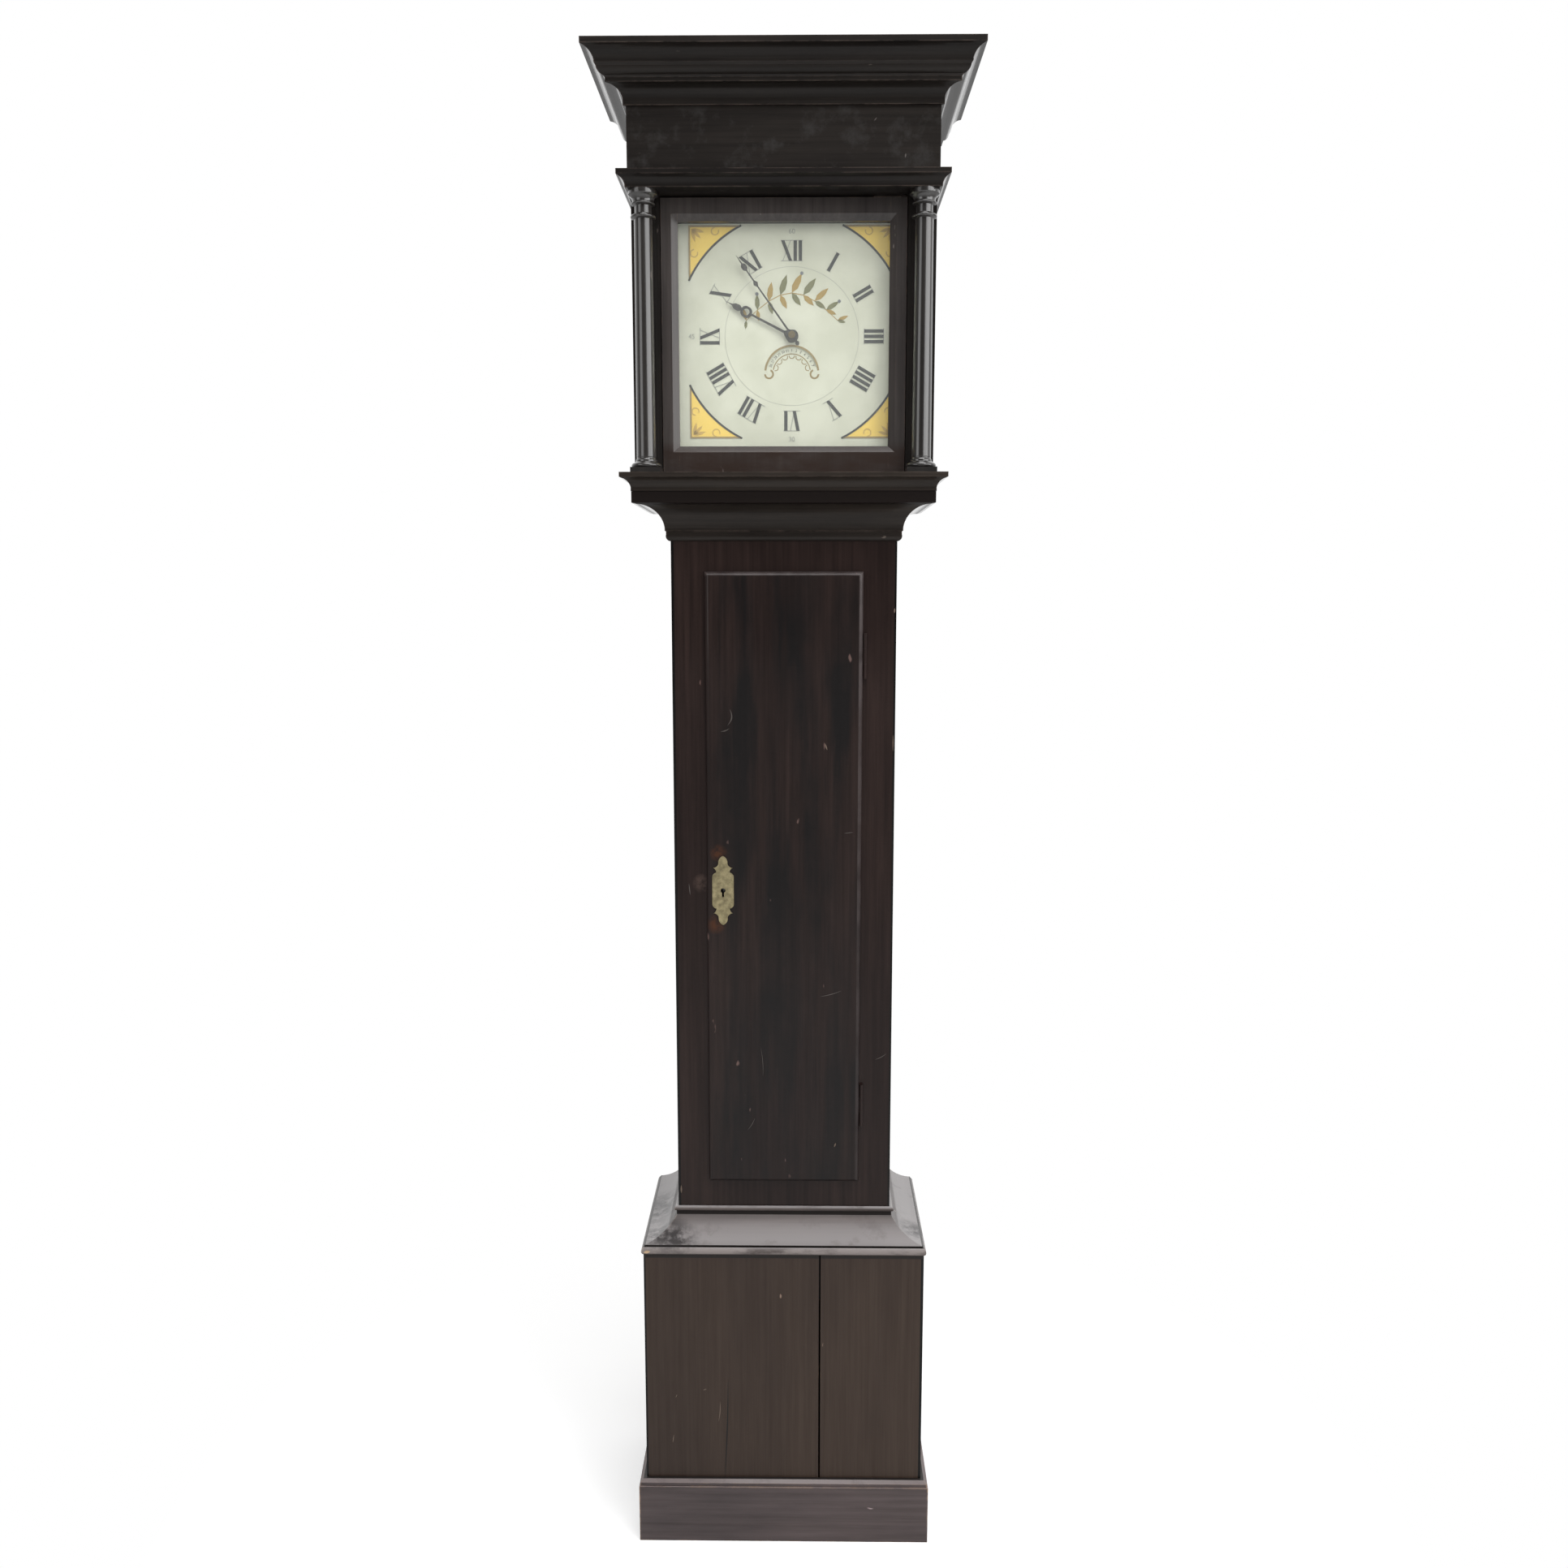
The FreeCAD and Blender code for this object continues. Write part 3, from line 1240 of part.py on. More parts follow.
def weight_stirrup():
    """Two straps beside the sheave, its axle, and the hook block that the weight hangs from."""
    gap = sheave_width / 2 + 0.5
    low = z_sheave - stirrup_length
    pieces = [rod(V(0, rope_y - gap - 3, z_sheave), V(0, rope_y + gap + 3, z_sheave), 2.5)]
    for y0 in (rope_y - gap - 2, rope_y + gap):
        pieces.append(box(-5, 5, y0, y0 + 2, low, z_sheave + 6))
    pieces.append(box(-5, 5, rope_y - gap - 2, rope_y + gap + 2, low, low + 5))
    pieces.append(rod(V(0, rope_y, low - 10), V(0, rope_y, low), 3.0))
    return fused(pieces)


def driving_weight():
    top = z_sheave - stirrup_length - 10
    body = rod(V(0, rope_y, top - weight_length), V(0, rope_y, top), weight_radius)
    rims = [edge for edge in body.Edges if edge.Length > weight_radius and len(edge.Vertexes) == 1]
    return body.makeFillet(weight_radius / 6, rims)


CASE_PIECES = [
    backboard, trunk_sides, trunk_front_frame, base_front_boards, base_sides, base_bottom, skirting,
    base_moulding, throat_moulding, seatboard,
    trunk_door_panel, trunk_hinge_frame_leaves, trunk_hinge_door_leaves, escutcheon, lock_case, lock_bolt,
    hood_sides, hood_top, hood_frieze, hood_front_frame, hood_base_frame, hood_middle_moulding, cornice,
    hood_columns, hood_mask, hood_door_frame, hood_glass, hood_door_straps,
]
MOVEMENT_PIECES = [
    dial_plate, calendar_disc, minute_hand, hour_hand,
    front_plate, back_plate, back_cock,
    going_great_wheel, going_second_wheel, escape_wheel, anchor, pendulum_rod, pendulum_bob,
    minute_wheel, hour_wheel,
    strike_great_wheel, hoop_wheel, warning_wheel, fly, count_wheel, hammer, bell, bell_stand,
    pulley_rope, weight_rope, sheave_rope, ring_rope, ring_loop, counter_ring, weight_sheave, weight_stirrup,
    driving_weight,
]

# The dial and movement are drawn about the middle, then stand a little to the right of it
os.makedirs("parts", exist_ok=True)
for piece in CASE_PIECES + MOVEMENT_PIECES:
    shape = piece()
    if piece in MOVEMENT_PIECES:
        shape.translate(V(dial_from_middle, 0, 0))
    shape.exportStep("parts/" + piece.__name__ + ".step")
    print(piece.__name__, len(shape.Solids), round(shape.Volume), shape.isValid())
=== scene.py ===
"""Looks of the longcase clock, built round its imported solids. Metres, +Z up, front towards -Y."""
import json
import math

import bmesh
import bpy
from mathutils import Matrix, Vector


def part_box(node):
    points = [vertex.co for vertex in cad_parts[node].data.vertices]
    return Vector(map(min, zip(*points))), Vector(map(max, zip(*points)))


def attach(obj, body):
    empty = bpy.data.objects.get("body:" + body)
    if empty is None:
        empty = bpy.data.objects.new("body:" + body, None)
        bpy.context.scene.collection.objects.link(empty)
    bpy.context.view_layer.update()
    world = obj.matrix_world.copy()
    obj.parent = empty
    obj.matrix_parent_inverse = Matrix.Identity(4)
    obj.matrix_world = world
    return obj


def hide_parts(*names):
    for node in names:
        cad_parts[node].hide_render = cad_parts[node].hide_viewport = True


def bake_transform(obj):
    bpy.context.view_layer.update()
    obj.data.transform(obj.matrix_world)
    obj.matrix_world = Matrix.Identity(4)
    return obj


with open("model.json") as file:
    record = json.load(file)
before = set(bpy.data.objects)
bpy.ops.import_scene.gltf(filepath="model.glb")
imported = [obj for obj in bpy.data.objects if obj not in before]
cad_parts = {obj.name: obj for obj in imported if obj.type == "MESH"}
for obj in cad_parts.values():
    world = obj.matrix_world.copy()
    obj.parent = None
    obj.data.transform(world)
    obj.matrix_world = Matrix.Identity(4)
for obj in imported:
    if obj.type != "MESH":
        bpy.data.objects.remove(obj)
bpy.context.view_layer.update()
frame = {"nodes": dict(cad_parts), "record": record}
nodes = frame["nodes"]

# Camera: fitted to the photograph, an image 1932 pixels square
image_size = 1932
focal_pixels = 1600
sensor_width = 36.0
camera_height = 1.320
camera_pitch = 8.106
camera_yaw = 0.66
camera_aside = 0.020
camera_to_trunk = 1.723

# Floor: shadow kept near the clock, plain white farther off
floor_size = 60.0
floor_grey = 0.80
floor_near = 0.35
floor_far = 0.90
floor_glow = 0.42

# Light of the room, and what gloss sees of it: dim in front of the clock, white behind it.
# The turn from one to the other runs between two values of a direction's y, from -1 to 1
room_light = 0.50
room_gloss = 0.06
gloss_dim_until = -0.25
gloss_white_from = 0.35

# Lamps: name, place, point aimed at, side of the square, watts
lamps = (
    ("overhead", (0.3, -1.05, 3.4), (0.0, -0.2, 0.5), 1.6, 46),
    ("right_front", (2.0, -2.6, 2.2), (0.0, 0.0, 1.1), 1.6, 28),
    ("right", (2.5, -1.1, 2.0), (0.0, 0.0, 1.1), 1.5, 26),
    ("left", (-2.2, -2.2, 1.9), (0.0, 0.0, 1.1), 1.6, 16),
)

# Boxes of the pieces that the looks are placed by, from the frame
dial_low, dial_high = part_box("dial_plate")
calendar_low, calendar_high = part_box("calendar_disc")
trunk_low, trunk_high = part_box("trunk_front_frame")
door_low, door_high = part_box("trunk_door_panel")
escutcheon_low, escutcheon_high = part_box("escutcheon")
base_low, base_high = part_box("base_front_boards")
moulding_low, moulding_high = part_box("base_moulding")
skirting_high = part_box("skirting")[1]
throat_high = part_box("throat_moulding")[1]
frieze_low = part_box("hood_frieze")[0]
hood_door_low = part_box("hood_door_frame")[0]
dial_x = (dial_low.x + dial_high.x) / 2
dial_z = (dial_low.z + dial_high.z) / 2
calendar_z = (calendar_low.z + calendar_high.z) / 2
escutcheon_x = (escutcheon_low.x + escutcheon_high.x) / 2
escutcheon_z = (escutcheon_low.z + escutcheon_high.z) / 2

# Mitres: every moulding turns the corner where x aside plus y reaches this
mitre_line = trunk_high.x + trunk_low.y
mitre_blur = 0.002

# Level bands of tint, each given by where it starts and ends and its tint
painted_shade_tint = (0.016, 0.013, 0.012)
rail_tint = (0.0085, 0.0058, 0.0050)
past_edge = 0.001
bead_recess_top = 0.0060
bead_recess_foot = 0.0120
groove_foot = 0.0108
groove_top = 0.0126
base_top_depth = 0.0048
skirting_top_depth = 0.0003
throat_rail_depth = 0.0155
# Painted shade in the bead recess, the nosing groove, along the top of the base and along the top of the
# skirting
bead_recess = (moulding_high.z - bead_recess_foot, moulding_high.z - bead_recess_top, painted_shade_tint)
nosing_groove = (moulding_low.z + groove_foot, moulding_low.z + groove_top, painted_shade_tint)
base_top = (base_high.z - base_top_depth, base_high.z + past_edge, painted_shade_tint)
skirting_top = (skirting_high.z - skirting_top_depth, skirting_high.z + past_edge, painted_shade_tint)
throat_rail = (throat_high.z - throat_rail_depth, throat_high.z + past_edge, rail_tint)

# Painted shade along the outer edges of the front of trunk and base, left and right
shade_tint = (0.0042, 0.0036, 0.0034)
wide_edge = 0.0036
narrow_edge = 0.0026
trunk_edges = (trunk_low.x + wide_edge, trunk_high.x - narrow_edge)
base_edges = (base_low.x + narrow_edge, base_high.x - wide_edge)
beyond_case = 0.5

# Worn lips of the trunk door, nosing of the base moulding and bottom rail of the hood door
lip_width = 0.0052
lip_tint = (0.070, 0.057, 0.056)
nosing_worn_foot = 0.002
nosing_worn_top = 0.0112
nosing_tint = (0.245, 0.215, 0.205)
rail_worn = 0.040
rail_worn_full = 0.7
rail_worn_tint = (0.026, 0.0145, 0.0105)

# Ragged stains, each a place, a radius and a tint: rubbed wood by the escutcheon
amber = (0.060, 0.022, 0.010)
pale_rub = (0.075, 0.049, 0.040)
door_stains = (
    ((escutcheon_x - 0.006, door_low.y, escutcheon_high.z + 0.004), 0.013, amber),
    ((escutcheon_x - 0.010, door_low.y, escutcheon_low.z + 0.001), 0.015, amber),
)
trunk_stains = (((escutcheon_x - 0.029, trunk_low.y, escutcheon_z + 0.008), 0.014, pale_rub),)


def moulding_smear(x, back, radius):
    """Darker patch on the slope of the base moulding, so far back from its front."""
    dark_patch_tint = (0.040, 0.036, 0.036)
    dark_patch_rise = 0.014
    return (x, moulding_low.y + back, moulding_low.z + dark_patch_rise), radius, dark_patch_tint


# Darker patches at the left mitre of the base moulding, and a little at the right one
moulding_dark_patches = (
    moulding_smear(base_low.x + 0.046, 0.020, 0.034),
    moulding_smear(base_low.x + 0.020, 0.030, 0.040),
    moulding_smear(base_low.x + 0.006, 0.110, 0.060),
    moulding_smear(base_high.x - 0.010, 0.050, 0.030),
)

# Paint and marks stand this far in front of a face, and each further coat as far again
coat_gap = 0.0002

# Corners of the dial: fields between a square and a circle, with a fan and two curls
corner_half = 0.1325
corner_circle = 0.1475
corner_rise = 0.0045
corner_line = 0.0026
corner_border = 0.0022
fan_inset = 0.004
fan_length = 0.017
fan_width = 0.30 * fan_length
fan_spread = 30
curl_near = 0.003
curl_far = 0.030
curl_radius = 0.0046
curl_line = 0.0015
curl_turn = 290

# Numbers of the dial
hour_numbers = ("XII", "I", "II", "III", "IIII", "V", "VI", "VII", "VIII", "IX", "X", "XI")
numeral_radius = 0.106
numeral_height = 0.025
numeral_thick = 0.0042
numeral_thin = 0.0009
letter_half = 0.0050
letter_gap = 0.0010
upright_gap = 0.0024
hour_angle = 30
minute_angle = 6
inner_circle = 0.0865
inner_line = 0.0004
minute_radius = 0.1295
minute_height = 0.0085

# Leafy sprig in the middle of the dial
sprig_leaves = 8
sprig_width = 0.118
sprig_height = 0.020
sprig_arch = 0.034
sprig_lean = 40
stem_half = 0.0006
sprig_leaf = 0.0275
end_leaf = 0.55
upper_tilt = 28
upper_width = 0.36
lower_tilt = 36
lower_length = 0.72
lower_width = 0.30
bud_radius = 0.0022

# Border of the calendar opening: lines as radius, width, degrees each way and steps
calendar_lines = ((0.0345, 0.0026, 84, 48), (0.0243, 0.0012, 80, 40))
end_curl_from = 0.0295
end_curl_angle = 92
end_curl_radius = 0.0052
end_curl_line = 0.0024
end_curl_start = 90
end_curl_end = 340
scallops_aside = 3
scallop_angle = 24
scallop_from = 0.0222
scallop_radius = 0.0036
scallop_line = 0.0011
days = 31
day_radius = 0.029
day_height = 0.0048

# Rope: strands, their share of its radius, the length of one turn in radii, and rings of points in it
strands = 3
strand_share = 0.46
rope_lay = 7.0
rings_in_lay = 8

# Arrises rounded by the scene
arris_angle = 40
arris_segments = 2

black = (0, 0, 0)
white = (1, 1, 1)


def grey(level):
    return (level, level, level)


def scaled(colour, factor):
    return tuple(factor * channel for channel in colour)


# Shader nodes

class NodeTree:
    """Nodes of one material or of the world, with a short call for each kind that is used."""

    def __init__(self, owner):
        owner.use_nodes = True
        self.nodes = owner.node_tree.nodes
        self.links = owner.node_tree.links

    def feed(self, socket, value):
        """Links an output to the socket, or sets a number, colour or place on the socket itself."""
        if isinstance(value, bpy.types.NodeSocket):
            self.links.new(value, socket)
        elif socket.type == "RGBA":
            socket.default_value = (*value, 1)
        else:
            socket.default_value = value

    def fill(self, node, values):
        for name, value in values.items():
            self.feed(node.inputs[name], value)

    def add(self, kind, operation=None):
        node = self.nodes.new("ShaderNode" + kind)
        if operation:
            node.operation = operation
        return node

    def place(self, kind="Object"):
        return self.add("TexCoord").outputs[kind]

    def normal(self):
        return self.add("NewGeometry").outputs["Normal"]

    def light_path(self, kind):
        return self.add("LightPath").outputs[kind]

    def axis(self, vector, name):
        """One coordinate of a vector."""
        split = self.add("SeparateXYZ")
        self.feed(split.inputs["Vector"], vector)
        return split.outputs[name]

    def stretched(self, grain, along, across):
        """Object coordinates, drawn out along the grain."""
        mapping = self.add("Mapping")
        scale = [across] * 3
        scale["xyz".index(grain)] = along
        self.fill(mapping, {"Vector": self.place(), "Scale": scale})
        return mapping.outputs["Vector"]

    def number(self, kind, operation, *values):
        """Number that a node of kind Math or VectorMath makes of the values."""
        node = self.add(kind, operation)
        for socket, value in zip(node.inputs, values):
            self.feed(socket, value)
        return node.outputs["Value"]

    def mapped(self, value, before, after):
        """Value carried from one span, low and high, to another."""
        node = self.add("MapRange")
        self.fill(node, {"Value": value, "From Min": before[0], "From Max": before[1],
                         "To Min": after[0], "To Max": after[1]})
        return node.outputs["Result"]

    def noise(self, vector, scale=1.0, detail=5.0, roughness=0.6):
        node = self.add("TexNoise")
        self.fill(node, {"Vector": vector, "Scale": scale, "Detail": detail, "Roughness": roughness})
        return node.outputs["Fac"]

    def ramp(self, value, *stops):
        """Colour for a value, between stops that are each a value and a colour."""
        node = self.add("ValToRGB")
        elements = node.color_ramp.elements
        while len(elements) < len(stops):
            elements.new(0.5)
        for element, (position, colour) in zip(elements, stops):
            element.position = position
            element.color = (*colour, 1)
        self.feed(node.inputs["Fac"], value)
        return node.outputs["Color"]

    def mix(self, share, first, second, mode="MIX"):
        node = self.add("Mix")
        node.data_type = "RGBA"
        node.blend_type = mode
        self.feed(node.inputs["Factor"], share)
        self.feed(node.inputs[6], first)
        self.feed(node.inputs[7], second)
        return node.outputs[2]

    def times(self, first, second):
        return self.mix(1.0, first, second, "MULTIPLY")

    def bump(self, height, strength, distance):
        node = self.add("Bump")
        self.fill(node, {"Height": height, "Strength": strength, "Distance": distance})
        return node.outputs["Normal"]


def new_material(name):
    material = bpy.data.materials.new(name)
    tree = NodeTree(material)
    return material, tree, tree.nodes["Principled BSDF"]


# Masks: where wear, stains, painted shade and painted light lie on the wood

def edge_wear(tree, radius, share):
    """Rubbed arrises, and painted highlights along arrises: where a rounded normal leaves the true one,
    broken up by noise.
    """
    softness = 0.08
    bevel = tree.add("Bevel")
    bevel.samples = 4
    tree.fill(bevel, {"Radius": radius})
    agreement = tree.number("VectorMath", "DOT_PRODUCT", bevel.outputs["Normal"], tree.normal())
    edge = tree.ramp(agreement, (0.70, white), (0.97, black))
    patch = tree.noise(tree.place(), scale=38.0, detail=6.0, roughness=0.7)
    broken = tree.ramp(patch, (1.0 - share - softness, black), (1.0 - share + softness, white))
    return tree.times(edge, broken)


def upper_faces(tree):
    """Faces that look up, broken up a little, where dull bloom and dust lie, and where painted light and
    sheen from above are laid.
    """
    steepness = tree.axis(tree.normal(), "Z")
    up = tree.ramp(steepness, (0.25, black), (0.60, grey(0.28)), (0.97, white))
    cloud = tree.noise(tree.place(), scale=22.0, detail=6.0, roughness=0.65)
    return tree.times(up, tree.ramp(cloud, (0.30, grey(0.45)), (0.48, white)))


def behind_mitre(tree):
    """How far back round the corner a place lies: past mitre_line it is on a side of the case."""
    where = tree.place()
    aside = tree.number("Math", "ABSOLUTE", tree.axis(where, "X"))
    return tree.number("Math", "ADD", aside, tree.axis(where, "Y"))


def axis_band(tree, axis, low, high):
    """Places from low to high along one axis."""
    along = tree.axis(tree.place(), axis)
    above = tree.number("Math", "GREATER_THAN", along, low)
    below = tree.number("Math", "LESS_THAN", along, high)
    return tree.number("Math", "MULTIPLY", above, below)


def stain(tree, place, radius):
    """Ragged spot round one place."""
    full_share = 0.3
    strength = 0.9
    away = tree.number("VectorMath", "DISTANCE", tree.place(), place)
    near = tree.mapped(away, (full_share * radius, radius), (strength, 0.0))
    cloud = tree.noise(tree.place(), scale=70.0, detail=6.0, roughness=0.65)
    return tree.times(near, tree.ramp(cloud, (0.36, black), (0.56, white)))


def front_edges(left, right):
    """Gives the mask of a front's outer edges, left of one place and right of another, where painted shade
    lies.
    """
    front_facing = -0.5

    def mask(tree):
        beyond_left = axis_band(tree, "X", -beyond_case, left)
        beyond_right = axis_band(tree, "X", right, beyond_case)
        front = tree.number("Math", "LESS_THAN", tree.axis(tree.normal(), "Y"), front_facing)
        return tree.times(tree.mix(1.0, beyond_left, beyond_right, "LIGHTEN"), front)

    return mask


def smoky_streaks(tree):
    """Long blackened streaks and clouds that let the red of the wood show between them."""
    streak = tree.noise(tree.stretched("z", 2.4, 26.0), detail=6.0, roughness=0.62)
    cloud = tree.noise(tree.stretched("z", 5.0, 11.0), detail=4.0)
    long = tree.ramp(streak, (0.42, black), (0.56, grey(0.85)))
    return tree.times(long, tree.ramp(cloud, (0.36, grey(0.15)), (0.60, white)))


def worn_lips(tree):
    """Rubbed top and right lip of the trunk door, in patches, and paler towards the top."""
    lowest_share = 0.20
    top = axis_band(tree, "Z", door_high.z - lip_width, door_high.z + past_edge)
    right = axis_band(tree, "X", door_high.x - lip_width, door_high.x + past_edge)
    cloud = tree.noise(tree.place(), scale=24.0)
    rubbed = tree.ramp(cloud, (0.32, grey(0.25)), (0.60, grey(0.95)))
    height = tree.axis(tree.place(), "Z")
    paler = tree.mapped(height, (door_low.z, door_high.z), (lowest_share, 1.0))
    lips = tree.mix(1.0, top, right, "LIGHTEN")
    return tree.times(tree.times(lips, paler), rubbed)


def rubbed_nosing(tree):
    """Pale rubbed patches along the nosing of the base moulding."""
    nosing = axis_band(tree, "Z", moulding_low.z + nosing_worn_foot, moulding_low.z + nosing_worn_top)
    cloud = tree.noise(tree.stretched("x", 11.0, 30.0), detail=6.0, roughness=0.65)
    return tree.times(nosing, tree.ramp(cloud, (0.36, grey(0.10)), (0.50, grey(0.95))))


def smudges(tree):
    """Faint pale smears."""
    cloud = tree.noise(tree.place(), scale=26.0, detail=7.0, roughness=0.68)
    return tree.ramp(cloud, (0.50, black), (0.70, grey(0.9)))


def worn_rail(tree):
    """Rubbed patches along the bottom rail of the hood door."""
    fade = (hood_door_low.z + rail_worn * rail_worn_full, hood_door_low.z + rail_worn)
    height = tree.mapped(tree.axis(tree.place(), "Z"), fade, (1.0, 0.0))
    cloud = tree.noise(tree.stretched("x", 14.0, 45.0), detail=6.0, roughness=0.65)
    return tree.times(tree.ramp(cloud, (0.30, grey(0.45)), (0.60, white)), height)


# Materials

def plain(name, colour, roughness=0.5):
    material, tree, shader = new_material(name)
    tree.fill(shader, {"Base Color": colour, "Roughness": roughness})
    return material


def wood(name, deep, pale, grain="z", roughness=0.36, specular=0.25, coat=0.8, patches=(), wear_and_highlight=None,
         dust_and_painted_light=None, bands=(), stains=(), side_coat=None, streaks=(0.62, 1.10), chip=6.0):
    """Stained oak: fine grain drawn along one axis, broad streaks, flecks and wax, with worn arrises and
    painted arris highlights, dust and painted light on upper faces, bands of tint and painted shade, stains
    and glossier side returns where asked."""
    dim_tint, full_tint = (1.0, 0.97, 0.98), (1.0, 0.98, 0.96)
    smoother, rougher = 0.07, 0.10
    material, tree, shader = new_material(name)
    fine = tree.noise(tree.stretched(grain, 4.0, 150.0), detail=9.0, roughness=0.68)
    broad = tree.noise(tree.stretched(grain, 2.2, 8.0))
    fleck = tree.noise(tree.stretched(grain, 26.0, 70.0), detail=3.0, roughness=0.5)
    dim, full = streaks
    shade = tree.ramp(broad, (0.38, scaled(dim_tint, dim)), (0.60, scaled(full_tint, full)))
    colour = tree.times(tree.ramp(fine, (0.30, deep), (0.70, pale)), shade)
    for mask, tint in patches:
        colour = tree.mix(mask(tree), colour, tint)
    chips = tree.ramp(fleck, (0.735, black), (0.775, grey(0.7)))
    colour = tree.mix(chips, colour, scaled(pale, chip))
    if wear_and_highlight:
        radius, share, tint = wear_and_highlight
        colour = tree.mix(edge_wear(tree, radius, share), colour, tint)
    if dust_and_painted_light:
        colour = tree.mix(upper_faces(tree), colour, dust_and_painted_light)
    for low, high, tint in bands:
        colour = tree.mix(axis_band(tree, "Z", low, high), colour, tint)
    for place, radius, tint in stains:
        colour = tree.mix(stain(tree, place, radius), colour, tint)
    tree.fill(shader, {
        "Base Color": colour,
        "Normal": tree.bump(fine, strength=0.08, distance=0.0006),
        "Roughness": tree.mapped(broad, (0.0, 1.0), (roughness - smoother, roughness + rougher)),
        "Specular IOR Level": specular,
        "Coat Roughness": 0.10,
        "Coat Weight": coat,
    })
    if side_coat:
        turn = (mitre_line, mitre_line + mitre_blur)
        gloss = tree.mapped(behind_mitre(tree), turn, (coat, side_coat))
        tree.fill(shader, {"Coat IOR": 2.2, "Coat Weight": gloss})
    return material


def metal(name, colour, roughness, dull=0.25):
    """Metal with a slightly cloudy surface."""
    material, tree, shader = new_material(name)
    cloud = tree.noise(tree.place(), scale=130.0, detail=6.0, roughness=0.65)
    clouded = tree.ramp(cloud, (0.35, scaled(colour, 1 - dull)), (0.65, colour))
    tree.fill(shader, {"Base Color": clouded, "Metallic": 1.0, "Roughness": roughness})
    return material


def painted_dial():
    """Pale paint with faint yellowing and fine speckle."""
    material, tree, shader = new_material("dial_paint")
    cloud = tree.noise(tree.place(), scale=16.0, detail=4.0)
    speck = tree.noise(tree.place(), scale=420.0, detail=3.0)
    ground = tree.ramp(cloud, (0.35, (0.57, 0.585, 0.46)), (0.62, (0.66, 0.675, 0.545)))
    spots = tree.ramp(speck, (0.24, (0.72, 0.68, 0.58)), (0.31, white))
    colour = tree.times(ground, spots)
    tree.fill(shader, {"Base Color": colour, "Roughness": 0.38, "Specular IOR Level": 0.35})
    return material


def window_glass():
    material, tree, shader = new_material("window_glass")
    tree.fill(shader, {"Base Color": (0.90, 0.94, 0.90), "Alpha": 0.06, "Roughness": 0.03})
    return material


def laid_rope():
    """Hemp rope: slanting strands as dark lines and bumps."""
    material, tree, shader = new_material("laid_rope")
    wave = tree.add("TexWave")
    wave.bands_direction = "DIAGONAL"
    tree.fill(wave, {"Vector": tree.place(), "Scale": 260.0, "Distortion": 1.2})
    lines = wave.outputs["Fac"]
    colour = tree.ramp(lines, (0.0, (0.16, 0.11, 0.06)), (0.6, (0.40, 0.31, 0.19)))
    normal = tree.bump(lines, strength=0.5, distance=0.001)
    tree.fill(shader, {"Base Color": colour, "Normal": normal, "Roughness": 0.9})
    return material


# Woods: wear, and painted highlight along arrises, is a radius, the share of the arris that it covers, and
# a tint
tan = (0.30, 0.19, 0.11)
soot = (0.0062, 0.0060, 0.0063)
# Pale tints for upper faces: painted sheen with dull bloom and dust on the base moulding, painted light
# with dust on the skirting bevel
bloom_and_painted_sheen = (0.285, 0.266, 0.265)
pink_dust_and_painted_light = (0.235, 0.193, 0.188)
frieze_smudge = (0.030, 0.028, 0.027)
black_deep, black_pale = (0.0082, 0.0068, 0.0060), (0.0168, 0.0140, 0.0122)
# Painted highlights along the arrises of the black mouldings: radius, share and tint
black_arris_highlight = (0.0024, 0.52, (0.082, 0.062, 0.052))
black_wood = wood("black_oak_across", black_deep, black_pale, "x", roughness=0.50, specular=0.08, coat=0.07,
                  wear_and_highlight=black_arris_highlight, side_coat=1.0)
frieze_wood = wood("frieze_oak", black_deep, black_pale, "x", roughness=0.50, specular=0.08, coat=0.07,
                   patches=((smudges, frieze_smudge),))
throat_wood = wood("throat_oak", (0.0165, 0.0130, 0.0106), (0.0330, 0.0268, 0.0222), "x",
                   roughness=0.50, specular=0.08, coat=0.07,
                   wear_and_highlight=black_arris_highlight, bands=(throat_rail,), side_coat=1.0)
black_upright = wood("black_oak_upright", black_deep, black_pale, "z",
                     roughness=0.50, specular=0.12, coat=0.15)
column_wood = wood("black_oak_turned", black_deep, black_pale, "z",
                   roughness=0.30, specular=0.60, coat=1.0)
return_wood = wood("black_oak_deep", black_deep, black_pale, "y")
trunk_wood = wood("trunk_oak", (0.0120, 0.0070, 0.0062), (0.0270, 0.0162, 0.0142), "z",
                  specular=0.10, coat=0.22, streaks=(0.72, 1.06), wear_and_highlight=(0.0014, 0.30, tan),
                  patches=((front_edges(*trunk_edges), shade_tint),), stains=trunk_stains)
door_wood = wood("door_oak", (0.0120, 0.0076, 0.0068), (0.0262, 0.0164, 0.0146), "z",
                 specular=0.10, coat=0.25, streaks=(0.78, 1.06), wear_and_highlight=(0.0020, 0.42, (0.085, 0.066, 0.060)),
                 patches=((smoky_streaks, soot), (worn_lips, lip_tint)), stains=door_stains)
base_wood = wood("base_oak", (0.0340, 0.0220, 0.0165), (0.0500, 0.0345, 0.0265), "z",
                 roughness=0.48, specular=0.15, coat=0.15, streaks=(0.82, 1.05), wear_and_highlight=(0.0012, 0.35, tan),
                 patches=((front_edges(*base_edges), shade_tint),), bands=(base_top,))
